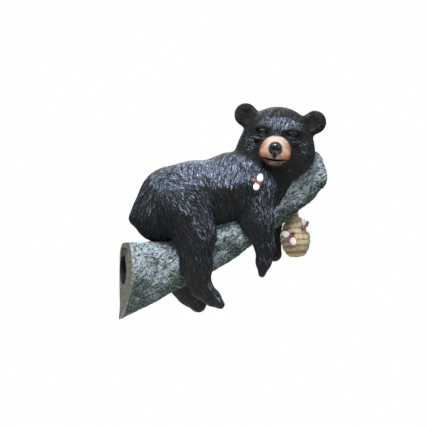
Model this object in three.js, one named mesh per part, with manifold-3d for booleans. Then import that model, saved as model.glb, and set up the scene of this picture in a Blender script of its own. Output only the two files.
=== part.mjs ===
// Black bear cub dozing astride a tree branch, with a beehive and three bees:
// a hand-painted cast ornament that hangs with the cut end of its branch flat on a wall.
// Millimetres. +X points away from the wall, +Z is up, and the bear's near side faces -Y.
// The origin is on the wall face, on the solid resin just below the hanging recess.
import * as THREE from 'three';
import Module from 'manifold-3d';

const wasm = await Module();
wasm.setup();

// ---------------------------------------------------------------- driving sizes
const TOUCH_GAP = 0.3;            // clearance between separate pieces
const SKIN_CELL = 5;              // grid that the bear's skin is first drawn on
const BEAR_LOW = [-8, -132, -60]; // corners of the space that the bear fills
const BEAR_HIGH = [368, 106, 338];
const KEEP_OFF = 0.04;            // how near a skin point may come to a grid corner
const RELAX_PASSES = 3;           // times the skin is evened out
const BEAR_FACETS = 5900;         // facets left on the bear before it joins the branch
const BRANCH_SIDES = 36;          // facets round the branch

// The branch: stations along it, each with its height on the axis and its section sizes.
// x, z: axis point; high: half height; near, far: half widths; lean: how far the section is skewed.
const BRANCH = [
  { x: 0, z: 16.5, high: 67.5, near: 56, far: 33, lean: 0.55, mid: -5 },
  { x: 9, z: 19.5, high: 64.5, near: 55, far: 34, lean: 0.50, mid: -4 },
  { x: 30, z: 27.0, high: 56.5, near: 50, far: 36, lean: 0.30, mid: -3 },
  { x: 60, z: 36.5, high: 49.0, near: 45, far: 38, lean: 0.10, mid: -1 },
  { x: 100, z: 50.0, high: 43.5, near: 41, far: 38, lean: 0, mid: 0 },
  { x: 165, z: 81.5, high: 39.0, near: 38, far: 37, lean: 0, mid: 0 },
  { x: 230, z: 120.5, high: 37.5, near: 37, far: 36, lean: 0, mid: 0 },
  { x: 300, z: 169.5, high: 36.5, near: 37, far: 36, lean: 0, mid: 0 },
  { x: 356, z: 210.0, high: 35.5, near: 36, far: 35, lean: 0, mid: 0 },
];
const SECTION_POWER = 2.25;       // 2 is an ellipse, more is squarer
// The same at the wall, for the lower and the upper quarter on each side.
const WALL_POWER = { near: [1.4, 1.5], far: [1.9, 4.5] };
const THIN_FAR = 6;               // least half width on the far side
const FLARE = 60;                 // length over which the wall end's shape fades out
const END_TILT = 12;              // degrees that the broken free end leans back
const END_LEAN_IN = 45;           // length over which it comes to that lean
const UPRIGHT_RINGS = 90;         // length over which the rings turn square to the axis
const BARK_LUMP = 1.3;            // height of the slow swellings in the bark
const LUMP_FADE = 40;             // length over which they rise from the wall
const SWELLS = [
  { round: 3, along: 0.045, start: 0, share: 1 },
  { round: 5, along: -0.083, start: 1, share: 0.7 },
];
const STATION_STEP = 18;          // distance between branch rings
const END_ROUNDING = 8;           // length over which the free end rounds off
const END_FACE = 0.62;            // size of the broken end face, as a share of the section
const END_HOLLOW = 3;             // how far that face dips in
const END_RINGS = [0.45, 0.8, 1]; // where the rings of the rounding lie, as shares of it
const END_ROUND = 0.96;           // how much of a quarter turn the rounding makes

// The hanging recess in the wall face and the strap that a nail or screw head hooks under.
const RECESS = { y: 0, z: 38, halfWidth: 23, halfHeight: 25, depth: 16, draft: 0.9 };
const PAST = 1;                   // how far the cutters start outside the wall face
const STRAP = { length: 40, height: 13, thickness: 1.5, y: -3, z: 66.5, inset: 1.2, notch: 4.5 };
const RIVET = { radius: 2.8, foot: 2.25, height: 1.3, fromEnd: 5.5, proud: 0.25 };

// The bear's body: ball-ended tapers between named joints. `soft` is the fillet to what is before it.
const JOINT = {
  rump: [86, 0, 158], seat: [66, 0, 131], loin: [128, 0, 164.5], ribs: [165, 0, 166.5],
  withers: [197, -1, 180], chest: [228, -2, 178],
  nape: [247, -10, 208], skull: [272, -22, 253],
  throat: [272, -12, 214], breast: [252, 6, 176],
  tail: [20, 0, 124.5], tailRoot: [38, 0, 135],
  hip: [94, -38, 143], knee: [114, -46, 98], shin: [114, -52, 44], ankle: [119, -50, 18],
  heel: [124, -50, 7], ball: [143, -49, -10], toe: [158, -48, -22],
  farHip: [100, 34, 144], farKnee: [118, 42, 92], farAnkle: [121, 48, 8],
  farHeel: [131, 48, -9.5], farToe: [148, 46, -30.5],
  shoulder: [216, -38, 171], elbow: [226, -49, 116], wrist: [240, -48, 74],
  palm: [237.5, -47, 49], fingers: [235, -45, 28.5],
  farShoulder: [256, 32, 178], farElbow: [279, 46, 118],
  farWrist: [287, 46, 76], farPalm: [294, 45, 58],
};
const BODY = [
  { from: 'rump', to: 'loin', r: [54.5, 56], soft: 1 },
  { from: 'seat', to: 'rump', r: [48, 49], soft: 14 },
  { from: 'loin', to: 'ribs', r: [56, 57], soft: 16 },
  { from: 'ribs', to: 'withers', r: [57, 57], soft: 10 },
  { from: 'withers', to: 'chest', r: [57, 54], soft: 14 },
  { from: 'chest', to: 'nape', r: [54, 43], soft: 20 },
  { from: 'nape', to: 'skull', r: [43, 46], soft: 16 },
  { from: 'breast', to: 'throat', r: [42, 38], soft: 26 },
  { from: 'tailRoot', to: 'tail', r: [16, 8.5], soft: 14 },
  { from: 'hip', to: 'knee', r: [45, 32], soft: 10 },
  { from: 'knee', to: 'shin', r: [33, 25.5], soft: 16 },
  { from: 'shin', to: 'ankle', r: [25.5, 18.5], soft: 10 },
  { from: 'ankle', to: 'heel', r: [18.5, 17.5], soft: 8 },
  { from: 'heel', to: 'ball', r: [16.5, 13.5], soft: 8 },
  { from: 'ball', to: 'toe', r: [13.5, 7.5], soft: 6 },
  { from: 'farHip', to: 'farKnee', r: [46, 32], soft: 18 },
  { from: 'farKnee', to: 'farAnkle', r: [32, 25], soft: 16 },
  { from: 'farAnkle', to: 'farHeel', r: [25, 21], soft: 8 },
  { from: 'farHeel', to: 'farToe', r: [20, 14], soft: 8 },
  { from: 'shoulder', to: 'elbow', r: [37, 26], soft: 18 },
  { from: 'elbow', to: 'wrist', r: [26, 16.5], soft: 14 },
  { from: 'wrist', to: 'palm', r: [16.5, 12], soft: 8 },
  { from: 'palm', to: 'fingers', r: [12, 6], soft: 8 },
  { from: 'farShoulder', to: 'farElbow', r: [36, 26], soft: 18 },
  { from: 'farElbow', to: 'farWrist', r: [26, 17], soft: 14 },
  { from: 'farWrist', to: 'farPalm', r: [17, 13.5], soft: 8 },
];

// The head, turned to the near side. Its own axes: side (the bear's left), up, front.
const HEAD_TURN = 23;             // degrees from facing -Y towards the wall
const HEAD_NOD = 1.8;             // degrees down
const HEAD_ROLL = 6.8;            // degrees over onto the bear's left cheek
const HEAD = [
  { at: [0, 9, -4], r: [62, 59, 51], soft: 14 },
  { at: [30, -13, 2], r: [38.5, 37, 38], soft: 14, mirror: true },
  { at: [0, 20, 24], r: [40, 28, 26], soft: 12 },
  { at: [0, -8, 40], r: [29, 26, 26], soft: 10 },
  { at: [0, -9, 60], r: [20, 20, 22], soft: 9 },
  { at: [12, -18, 64], r: [15.5, 12.5, 14], soft: 5, mirror: true },
  { at: [0, -33.5, 58], r: [14, 7.5, 14], soft: 4 },
  { at: [25, 26, 42], r: [15, 6, 9], soft: 6, mirror: true },
];
const EYE_SOCKET = { at: [25, 17.5, 53.5], r: [13, 7, 8], soft: 6 };
const EYE = { at: [25, 17, 44], r: 6.5, soft: 2 };
const NOSE = { at: [0, -6.5, 79.5], r: [11, 9.5, 8.5], soft: 2 };
const MOUTH = { at: [0, -28, 66], r: [23, 1, 15], soft: 2 };
const EAR = { at: [61.5, 48, -8], r: [20, 20.5, 10], soft: 12 };
const EAR_CUP = { at: [58.5, 45.5, 7], r: [13.5, 14.5, 9], soft: 5 };

// The hive: rolled coils round a slightly leaning axis, hung from the underside of the branch.
const HIVE = { x: 321.8, y: 6, low: 53, high: 134, lean: 4, coils: 7, coilDepth: 1.6, across: 52.5 };
const HIVE_WIDEST = 0.42;         // height of its widest coil, as a share of its height
const HIVE_BOWL = { reach: 0.44, power: 2 };
const HIVE_CROWN = { reach: 0.52, power: 1.7 };
const HIVE_COILED = 0.92;         // share of the height that is coiled, below the stem
const HIVE_STEM = [8.5, 8.2];     // the stem's radius at its foot and at its top
const STEM_REACH = 14;            // how far the stem runs up towards the branch
const HIVE_SIDES = 24;
const RINGS_PER_COIL = 2;

// Bees: length over all, and where each one sits and faces.
const BEE_LENGTH = 22.5;
const BEE_DRAWN = 18.6;           // length of the bee as its lumps are given
const BEE_LUMPS = [
  { r: [5.6, 3.7, 3.4], at: [-4.4, 0, 3.6], around: 8, down: 6 },
  { r: [3.5, 3.3, 3.2], at: [2.2, 0, 3.9], around: 8, down: 6 },
  { r: [2.3, 2.5, 2.1], at: [6.3, 0, 3.4], around: 6, down: 5 },
];
const BEE_WING = { r: [4.4, 6.2, 0.8], back: 0.4, out: 7.2, up: 6.3, dihedral: 14, sweep: 12 };
const SHOULDER_BEE = { from: [215, -160, 183], along: [0, 1, 0], ahead: [0.8, 0, -0.45] };
const FRONT_BEE = { height: 0.48, turn: -130, ahead: [0.75, 0, 0.66] };
const SIDE_BEE = { height: 0.71, turn: -68, ahead: [0.7, -0.2, 0.5] };

const FINISH = {
  coat: { color: 0x2b2e33, roughness: 0.55, metalness: 0 },
  straw: { color: 0xc9b084, roughness: 0.7, metalness: 0 },
  bee: { color: 0x7a3020, roughness: 0.5, metalness: 0 },
  strap: { color: 0x6b5a48, roughness: 0.5, metalness: 0.8 },
};

// ---------------------------------------------------------------- small helpers
const add = (a, b) => [a[0] + b[0], a[1] + b[1], a[2] + b[2]];
const sub = (a, b) => [a[0] - b[0], a[1] - b[1], a[2] - b[2]];
const scale = (a, s) => [a[0] * s, a[1] * s, a[2] * s];
const dot = (a, b) => a[0] * b[0] + a[1] * b[1] + a[2] * b[2];
const cross = (a, b) => [a[1] * b[2] - a[2] * b[1], a[2] * b[0] - a[0] * b[2], a[0] * b[1] - a[1] * b[0]];
const length = (a) => Math.hypot(a[0], a[1], a[2]);
const unit = (a) => scale(a, 1 / length(a));
const radians = (degrees) => (degrees * Math.PI) / 180;

function blend(a, b, soft) {
  const h = Math.max(soft - Math.abs(a - b), 0) / soft;
  return Math.min(a, b) - h * h * soft * 0.25;
}

function carve(a, b, soft) {
  return -blend(-a, b, soft);
}

// Distance to a ball-ended taper.
function taperField(from, to, ra, rb) {
  const axis = sub(to, from);
  const l2 = dot(axis, axis);
  const dr = ra - rb;
  const a2 = l2 - dr * dr;
  const il2 = 1 / l2;
  return (p) => {
    const pa = sub(p, from);
    const y = dot(pa, axis);
    const z = y - l2;
    const q = sub(scale(pa, l2), scale(axis, y));
    const x2 = dot(q, q);
    const y2 = y * y * l2;
    const z2 = z * z * l2;
    const k = Math.sign(dr) * dr * dr * x2;
    if (Math.sign(z) * a2 * z2 > k) return Math.sqrt(x2 + z2) * il2 - rb;
    if (Math.sign(y) * a2 * y2 < k) return Math.sqrt(x2 + y2) * il2 - ra;
    return (Math.sqrt(x2 * a2 * il2) + y * dr) * il2 - ra;
  };
}

function eggField(at, r) {
  return (p) => {
    const q = sub(p, at);
    const k0 = Math.hypot(q[0] / r[0], q[1] / r[1], q[2] / r[2]);
    const k1 = Math.hypot(q[0] / (r[0] * r[0]), q[1] / (r[1] * r[1]), q[2] / (r[2] * r[2]));
    return k1 < 1e-9 ? -Math.min(...r) : (k0 * (k0 - 1)) / k1;
  };
}

const flip = (v) => [-v[0], v[1], v[2]];

// ---------------------------------------------------------------- the bear
function headAxes() {
  const turn = radians(HEAD_TURN);
  const nod = radians(HEAD_NOD);
  const roll = radians(HEAD_ROLL);
  const front = [-Math.sin(turn) * Math.cos(nod), -Math.cos(turn) * Math.cos(nod), -Math.sin(nod)];
  const side0 = unit(cross([0, 0, 1], front));
  const up0 = cross(front, side0);
  const side = sub(scale(side0, Math.cos(roll)), scale(up0, Math.sin(roll)));
  const up = add(scale(up0, Math.cos(roll)), scale(side0, Math.sin(roll)));
  return { side, up, front };
}

const AXES = headAxes();
const intoHead = (p) => {
  const d = sub(p, JOINT.skull);
  return [dot(d, AXES.side), dot(d, AXES.up), dot(d, AXES.front)];
};

function bearField() {
  const limbs = BODY.map((b) => ({
    field: taperField(JOINT[b.from], JOINT[b.to], b.r[0], b.r[1]), soft: b.soft }));
  const skull = HEAD.flatMap((b) => (b.mirror
    ? [{ field: eggField(b.at, b.r), soft: b.soft }, { field: eggField(flip(b.at), b.r), soft: b.soft }]
    : [{ field: eggField(b.at, b.r), soft: b.soft }]));
  const pair = (shape, r = shape.r) => [shape.at, flip(shape.at)].map((at) => eggField(at, r));
  const ears = pair(EAR);
  const cups = pair(EAR_CUP);
  const sockets = pair(EYE_SOCKET);
  const eyes = pair(EYE, [EYE.r, EYE.r, EYE.r]);
  const nose = eggField(NOSE.at, NOSE.r);
  const mouth = eggField(MOUTH.at, MOUTH.r);
  return (p) => {
    let d = 1e9;
    for (const limb of limbs) d = blend(d, limb.field(p), limb.soft);
    const q = intoHead(p);
    for (const lump of skull) d = blend(d, lump.field(q), lump.soft);
    for (const ear of ears) d = blend(d, ear(q), EAR.soft);
    for (const cup of cups) d = carve(d, cup(q), EAR_CUP.soft);
    for (const socket of sockets) d = carve(d, socket(q), EYE_SOCKET.soft);
    for (const eye of eyes) d = blend(d, eye(q), EYE.soft);
    d = carve(d, mouth(q), MOUTH.soft);
    return blend(d, nose(q), NOSE.soft);
  };
}

// The six corner walks that split a grid cube into tetrahedra.
const WALKS = [[0, 1, 2], [0, 2, 1], [1, 0, 2], [1, 2, 0], [2, 0, 1], [2, 1, 0]].map((order) => {
  const corners = [[0, 0, 0]];
  for (const n of order) {
    const next = [...corners[corners.length - 1]];
    next[n] = 1;
    corners.push(next);
  }
  return corners;
});

// One closed skin of small facets over a field, from `low` to `high` in cubes of `cell`.
function skin(field, low, high, cell) {
  const size = [0, 1, 2].map((n) => Math.ceil((high[n] - low[n]) / cell) + 1);
  const key = (g) => (g[2] * size[1] + g[1]) * size[0] + g[0];
  const place = (g) => [0, 1, 2].map((n) => low[n] + g[n] * cell);
  const value = new Float64Array(size[0] * size[1] * size[2]);
  const eachCube = (visit, less) => {
    for (let k = 0; k < size[2] - less; k += 1)
      for (let j = 0; j < size[1] - less; j += 1)
        for (let i = 0; i < size[0] - less; i += 1) visit([i, j, k]);
  };
  eachCube((g) => {
    const v = field(place(g));
    value[key(g)] = Math.abs(v) < 1e-6 ? 1e-6 : v;
  }, 0);
  const points = [];
  const made = new Map();
  const between = (a, b) => {
    const [ka, kb] = [key(a), key(b)];
    const id = ka < kb ? ka * value.length + kb : kb * value.length + ka;
    if (!made.has(id)) {
      const t = THREE.MathUtils.clamp(value[ka] / (value[ka] - value[kb]), KEEP_OFF, 1 - KEEP_OFF);
      const [pa, pb] = [place(a), place(b)];
      made.set(id, points.push(add(pa, scale(sub(pb, pa), t))) - 1);
    }
    return made.get(id);
  };
  const triangles = [];
  const facing = (a, b, c, inner, outer) => {
    const n = cross(sub(points[b], points[a]), sub(points[c], points[a]));
    if (dot(n, sub(place(outer), place(inner))) > 0) triangles.push(a, b, c);
    else triangles.push(a, c, b);
  };
  eachCube((g) => {
    const crossed = WALKS.flat().some((c) => value[key(add(g, c))] < 0 !== value[key(g)] < 0);
    if (!crossed) return;
    for (const walk of WALKS) {
      const corners = walk.map((c) => add(g, c));
      const inner = corners.filter((c) => value[key(c)] < 0);
      const outer = corners.filter((c) => value[key(c)] >= 0);
      if (inner.length === 1) facing(...outer.map((c) => between(inner[0], c)), inner[0], outer[0]);
      if (outer.length === 1) facing(...inner.map((c) => between(outer[0], c)), inner[0], outer[0]);
      if (inner.length === 2 && outer.length === 2) {
        const [a, b, c, d] = [between(inner[0], outer[0]), between(inner[0], outer[1]),
          between(inner[1], outer[1]), between(inner[1], outer[0])];
        facing(a, b, c, inner[0], outer[0]);
        facing(a, c, d, inner[0], outer[0]);
      }
    }
  }, 1);
  return { points, triangles };
}

const LEAST_SLOPE = 0.3;          // least squared slope of the field that a point is moved by

// Evens out a skin's facets, keeping its points on the field.
function relax(mesh, field, passes) {
  let { points } = mesh;
  const links = points.map(() => new Set());
  for (let n = 0; n < mesh.triangles.length; n += 3) {
    const f = mesh.triangles.slice(n, n + 3);
    for (const v of f) for (const w of f) if (v !== w) links[v].add(w);
  }
  for (let pass = 0; pass < passes; pass += 1)
    points = points.map((p, v) => {
      const sum = [...links[v]].reduce((total, w) => add(total, points[w]), [0, 0, 0]);
      const middle = scale(sum, 1 / links[v].size);
      const g = slope(field, middle);
      return add(middle, scale(g, -field(middle) / Math.max(dot(g, g), LEAST_SLOPE)));
    });
  return { points, triangles: mesh.triangles };
}

const MOST_TURN = 0.25;           // least cosine of the angle that a facet may turn while thinning
const LEAST_FULL = 0.15;          // how narrow a facet may become
const STILL_FULL = 0.95;          // share of its fullness that an already narrow facet must keep
const EDGE_WEIGHT = 0.02;         // how much sooner short edges are folded than long ones
const FURTHEST_SPOT = 1.5;        // how far off a folded edge's point may go, in edge lengths
const NEARLY_FLAT = 1e-6;         // below this a place is too flat to have one best spot

// Thins a skin to about `target` facets, folding away the edges that change its shape the least.
function thin(mesh, target) {
  const points = mesh.points.map((p) => [...p]);
  const faces = [];
  for (let n = 0; n < mesh.triangles.length; n += 3) faces.push(mesh.triangles.slice(n, n + 3));
  const around = points.map(() => new Set());
  faces.forEach((f, n) => f.forEach((v) => around[v].add(n)));
  const form = points.map(() => new Float64Array(10));
  const normalOf = (f, moved, to) => {
    const [a, b, c] = f.map((v) => (v === moved ? to : points[v]));
    return cross(sub(b, a), sub(c, a));
  };
  const fullness = (f, moved, to) => {
    const [a, b, c] = f.map((v) => (v === moved ? to : points[v]));
    const longest = Math.max(length(sub(a, b)), length(sub(b, c)), length(sub(c, a)));
    return length(cross(sub(b, a), sub(c, a))) / longest ** 2;
  };
  for (const f of faces) {
    const n = normalOf(f, -1);
    const area = length(n);
    if (area < 1e-9) continue;
    const [x, y, z] = scale(n, 1 / area);
    const d = -(x * points[f[0]][0] + y * points[f[0]][1] + z * points[f[0]][2]);
    const q = [x * x, x * y, x * z, x * d, y * y, y * z, y * d, z * z, z * d, d * d];
    for (const v of f) for (let m = 0; m < 10; m += 1) form[v][m] += q[m] * area;
  }
  const cost = (q, [x, y, z]) => q[0] * x * x + 2 * q[1] * x * y + 2 * q[2] * x * z + 2 * q[3] * x
    + q[4] * y * y + 2 * q[5] * y * z + 2 * q[6] * y + q[7] * z * z + 2 * q[8] * z + q[9];
  const stamp = new Int32Array(points.length);
  const heap = [];
  const rise = (n) => {
    for (let c = n; c > 0;) {
      const up = (c - 1) >> 1;
      if (heap[up].cost <= heap[c].cost) break;
      [heap[up], heap[c]] = [heap[c], heap[up]];
      c = up;
    }
  };
  const take = () => {
    const best = heap[0];
    const last = heap.pop();
    if (heap.length) {
      heap[0] = last;
      for (let c = 0; ;) {
        const l = 2 * c + 1;
        const r = l + 1;
        let low = c;
        if (l < heap.length && heap[l].cost < heap[low].cost) low = l;
        if (r < heap.length && heap[r].cost < heap[low].cost) low = r;
        if (low === c) break;
        [heap[low], heap[c]] = [heap[c], heap[low]];
        c = low;
      }
    }
    return best;
  };
  const offer = (a, b) => {
    const q = form[a].map((v, n) => v + form[b][n]);
    const span = length(sub(points[a], points[b]));
    const m = new THREE.Matrix3().set(q[0], q[1], q[2], q[1], q[4], q[5], q[2], q[5], q[7]);
    const spots = [points[a], points[b], scale(add(points[a], points[b]), 0.5)];
    if (Math.abs(m.determinant()) > NEARLY_FLAT * (q[0] + q[4] + q[7]) ** 3) {
      const spot = new THREE.Vector3(-q[3], -q[6], -q[8]).applyMatrix3(m.invert()).toArray();
      if (length(sub(spot, spots[2])) < FURTHEST_SPOT * span) spots.push(spot);
    }
    let best = null;
    for (const spot of spots) {
      const c = cost(q, spot) + EDGE_WEIGHT * span * span;
      if (!best || c < best.cost) best = { a, b, cost: c, spot, sa: stamp[a], sb: stamp[b] };
    }
    heap.push(best);
    rise(heap.length - 1);
  };
  const neighbours = (v) => {
    const out = new Set();
    for (const f of around[v]) for (const w of faces[f]) if (w !== v) out.add(w);
    return out;
  };
  for (let v = 0; v < points.length; v += 1) for (const w of neighbours(v)) if (v < w) offer(v, w);
  let left = faces.length;
  while (left > target && heap.length) {
    const { a, b, spot, sa, sb } = take();
    if (stamp[a] !== sa || stamp[b] !== sb || !around[a].size || !around[b].size) continue;
    const na = neighbours(a);
    const shared = [...neighbours(b)].filter((v) => na.has(v));
    if (shared.length !== 2) continue;
    const turns = (v, other) => [...around[v]].some((f) => {
      if (faces[f].includes(other)) return false;
      const [before, after] = [normalOf(faces[f], -1), normalOf(faces[f], v, spot)];
      if (dot(before, after) < MOST_TURN * length(before) * length(after)) return true;
      return fullness(faces[f], v, spot) < STILL_FULL * Math.min(LEAST_FULL, fullness(faces[f], -1));
    });
    if (turns(a, b) || turns(b, a)) continue;
    points[a] = spot;
    for (let m = 0; m < 10; m += 1) form[a][m] += form[b][m];
    for (const f of [...around[b]]) {
      if (faces[f].includes(a)) {
        faces[f].forEach((v) => around[v].delete(f));
        faces[f] = null;
        left -= 1;
      } else {
        faces[f] = faces[f].map((v) => (v === b ? a : v));
        around[a].add(f);
      }
    }
    around[b].clear();
    stamp[a] += 1;
    stamp[b] += 1;
    for (const w of neighbours(a)) offer(a, w);
  }
  const kept = new Map();
  const out = { points: [], triangles: [] };
  for (const f of faces)
    if (f) for (const v of f) {
      if (!kept.has(v)) kept.set(v, out.points.push(points[v]) - 1);
      out.triangles.push(kept.get(v));
    }
  return out;
}

const SLOPE_STEP = 0.05;

function slope(field, p) {
  return [0, 1, 2].map((n) => {
    const step = [0, 0, 0];
    step[n] = SLOPE_STEP;
    return (field(add(p, step)) - field(sub(p, step))) / (2 * SLOPE_STEP);
  });
}

// ---------------------------------------------------------------- the branch
function stationAt(x) {
  let n = 0;
  while (n < BRANCH.length - 2 && BRANCH[n + 1].x < x) n += 1;
  const before = BRANCH[Math.max(n - 1, 0)];
  const a = BRANCH[n];
  const b = BRANCH[n + 1];
  const after = BRANCH[Math.min(n + 2, BRANCH.length - 1)];
  const t = (x - a.x) / (b.x - a.x);
  const out = { x };
  for (const key of ['z', 'high', 'near', 'far', 'lean', 'mid']) {
    const ma = ((b[key] - before[key]) / (b.x - before.x || 1)) * (b.x - a.x);
    const mb = ((after[key] - a[key]) / (after.x - a.x || 1)) * (b.x - a.x);
    const t2 = t * t;
    const t3 = t2 * t;
    out[key] = (2 * t3 - 3 * t2 + 1) * a[key] + (t3 - 2 * t2 + t) * ma
      + (3 * t2 - 2 * t3) * b[key] + (t3 - t2) * mb;
  }
  return out;
}

function branchRing(x, size, slide, extra) {
  const s = stationAt(x);
  const rise = (stationAt(x + 1).z - stationAt(Math.max(x - 1, 0)).z) / (x < 1 ? 1 : 2);
  const last = BRANCH[BRANCH.length - 1].x;
  const broken = THREE.MathUtils.smoothstep(x, last - END_LEAN_IN, last);
  const square = Math.atan(rise) * Math.min(x / UPRIGHT_RINGS, 1);
  const tilt = THREE.MathUtils.lerp(square, radians(END_TILT), broken);
  const flare = 1 - THREE.MathUtils.smoothstep(x, 0, FLARE);
  const ring = [];
  for (let n = 0; n < BRANCH_SIDES; n += 1) {
    const a = (2 * Math.PI * n) / BRANCH_SIDES;
    const side = Math.cos(a) < 0 ? WALL_POWER.near : WALL_POWER.far;
    const fullness = THREE.MathUtils.lerp(SECTION_POWER, side[Math.sin(a) > 0 ? 1 : 0], flare);
    const power = (v) => Math.sign(v) * Math.abs(v) ** (2 / fullness);
    const fade = Math.min(x / LUMP_FADE, 1) * size;
    const swell = (w) => w.share * Math.sin(w.round * a + w.along * x + w.start);
    const lump = BARK_LUMP * fade * SWELLS.reduce((sum, w) => sum + swell(w), 0);
    const up = (s.high * size + extra + lump) * power(Math.sin(a));
    const half = Math.cos(a) < 0 ? s.near : Math.max(s.far + s.lean * up, THIN_FAR);
    const wide = half * size + extra + lump;
    const y = s.mid - s.lean * up + wide * power(Math.cos(a));
    const x0 = s.x - up * Math.sin(tilt) + slide * Math.cos(tilt);
    ring.push([x0, y, s.z + up * Math.cos(tilt) + slide * Math.sin(tilt)]);
  }
  return ring;
}

// Rings closed into a skin, with a point at the middle of each end.
function loft(rings, firstHub, lastHub) {
  const points = rings.flat();
  const sides = rings[0].length;
  const triangles = [];
  for (let r = 0; r < rings.length - 1; r += 1)
    for (let n = 0; n < sides; n += 1) {
      const a = r * sides + n;
      const b = r * sides + ((n + 1) % sides);
      triangles.push(a, b, b + sides, a, b + sides, a + sides);
    }
  const first = points.push(firstHub) - 1;
  const last = points.push(lastHub) - 1;
  const top = (rings.length - 1) * sides;
  for (let n = 0; n < sides; n += 1) {
    triangles.push(first, (n + 1) % sides, n);
    triangles.push(last, top + n, top + ((n + 1) % sides));
  }
  return { points, triangles };
}

function branchSkin(extra = 0) {
  const end = BRANCH[BRANCH.length - 1].x;
  const rings = [];
  const steps = Math.round(end / STATION_STEP);
  for (let n = 0; n <= steps; n += 1) rings.push(branchRing((end * n) / steps, 1, 0, extra));
  for (const share of END_RINGS) {
    const size = 1 - (1 - END_FACE) * (1 - Math.sqrt(1 - (share * END_ROUND) ** 2));
    rings.push(branchRing(end, size, END_ROUNDING * share, extra));
  }
  const wall = stationAt(0);
  const free = stationAt(end);
  const tilt = radians(END_TILT);
  const reach = END_ROUNDING - END_HOLLOW;
  const tip = [end + reach * Math.cos(tilt), free.mid, free.z + reach * Math.sin(tilt)];
  return loft(rings, [0, wall.mid, wall.z], tip);
}

// ---------------------------------------------------------------- joining and cutting
function solid({ points, triangles }) {
  const mesh = new wasm.Mesh({
    numProp: 3,
    vertProperties: new Float32Array(points.flat()),
    triVerts: new Uint32Array(triangles),
  });
  return new wasm.Manifold(mesh);
}

function solidOf(geometry) {
  const position = geometry.getAttribute('position');
  const index = geometry.getIndex();
  const keys = new Map();
  const points = [];
  const welded = [];
  for (let n = 0; n < position.count; n += 1) {
    const p = [position.getX(n), position.getY(n), position.getZ(n)];
    const key = p.map((v) => Math.round(v * 1e4)).join(' ');
    if (!keys.has(key)) keys.set(key, points.push(p) - 1);
    welded.push(keys.get(key));
  }
  const triangles = [];
  const count = index ? index.count : position.count;
  for (let n = 0; n < count; n += 3) {
    const [a, b, c] = [0, 1, 2].map((m) => welded[index ? index.getX(n + m) : n + m]);
    if (a !== b && b !== c && c !== a) triangles.push(a, b, c);
  }
  return solid({ points, triangles });
}

function meshOf(name, shape, finish) {
  const { numProp, vertProperties, triVerts } = shape.getMesh();
  const geometry = new THREE.BufferGeometry();
  const position = new Float32Array((vertProperties.length / numProp) * 3);
  for (let n = 0; n < position.length / 3; n += 1)
    for (let m = 0; m < 3; m += 1) position[n * 3 + m] = vertProperties[n * numProp + m];
  geometry.setAttribute('position', new THREE.BufferAttribute(position, 3));
  geometry.setIndex(new THREE.BufferAttribute(new Uint32Array(triVerts), 1));
  geometry.computeVertexNormals();
  const mesh = new THREE.Mesh(geometry, new THREE.MeshStandardMaterial(finish));
  mesh.name = name;
  return mesh;
}

// ---------------------------------------------------------------- hanging recess and strap
function recessCutter() {
  const bore = new THREE.CylinderGeometry(RECESS.draft, 1, RECESS.depth + 2 * PAST, 36);
  bore.rotateZ(-Math.PI / 2);
  bore.scale(1, RECESS.halfWidth, RECESS.halfHeight);
  bore.translate(RECESS.depth / 2 - PAST, RECESS.y, RECESS.z);
  const sunk = STRAP.inset + STRAP.thickness + TOUCH_GAP;
  const seat = new THREE.BoxGeometry(sunk + 2 * PAST, STRAP.length + 2 * TOUCH_GAP,
    STRAP.height + 2 * TOUCH_GAP);
  seat.translate(sunk / 2 - PAST, STRAP.y, STRAP.z);
  return solidOf(bore).add(solidOf(seat));
}

function strapShape() {
  const half = STRAP.length / 2;
  const low = -STRAP.height / 2;
  const shape = new THREE.Shape();
  shape.moveTo(-half, low);
  shape.lineTo(-STRAP.notch, low);
  shape.absarc(0, low, STRAP.notch, Math.PI, 0, true);
  shape.lineTo(half, low);
  shape.lineTo(half, -low);
  shape.lineTo(-half, -low);
  shape.closePath();
  const sheet = { depth: STRAP.thickness, bevelEnabled: false, curveSegments: 10 };
  const plate = new THREE.ExtrudeGeometry(shape, sheet);
  plate.rotateX(Math.PI / 2).rotateZ(Math.PI / 2);
  plate.translate(STRAP.inset, STRAP.y, STRAP.z);
  let strap = solidOf(plate);
  for (const side of [-1, 1]) {
    const head = new THREE.CylinderGeometry(RIVET.radius, RIVET.foot, RIVET.height, 16);
    const y = STRAP.y + side * (half - RIVET.fromEnd);
    head.rotateZ(Math.PI / 2).translate(STRAP.inset - RIVET.proud, y, STRAP.z);
    strap = strap.add(solidOf(head));
  }
  return strap;
}

// ---------------------------------------------------------------- the hive
function hiveRadius(t) {
  const half = t < HIVE_WIDEST ? HIVE_BOWL : HIVE_CROWN;
  const egg = Math.sqrt(Math.max(1 - Math.abs((t - HIVE_WIDEST) / half.reach) ** half.power, 0));
  return (HIVE.across / 2 - HIVE.coilDepth) * egg;
}

function hiveShape(castings) {
  const height = HIVE.high - HIVE.low;
  const profile = [new THREE.Vector2(0, 0)];
  const count = HIVE.coils * RINGS_PER_COIL;
  for (let n = 1; n <= count; n += 1) {
    const t = (HIVE_COILED * n) / count;
    const bulge = Math.abs(Math.sin((Math.PI * n) / RINGS_PER_COIL));
    profile.push(new THREE.Vector2(hiveRadius(t) + HIVE.coilDepth * bulge, t * height));
  }
  const top = height + STEM_REACH;
  profile.push(new THREE.Vector2(HIVE_STEM[0], HIVE_COILED * height + HIVE.coilDepth));
  profile.push(new THREE.Vector2(HIVE_STEM[1], top), new THREE.Vector2(0, top));
  const lathe = new THREE.LatheGeometry(profile, HIVE_SIDES);
  lathe.rotateX(Math.PI / 2);
  lathe.rotateY(radians(-HIVE.lean));
  lathe.translate(HIVE.x, HIVE.y, HIVE.low);
  return solidOf(lathe).subtract(castings);
}

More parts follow.
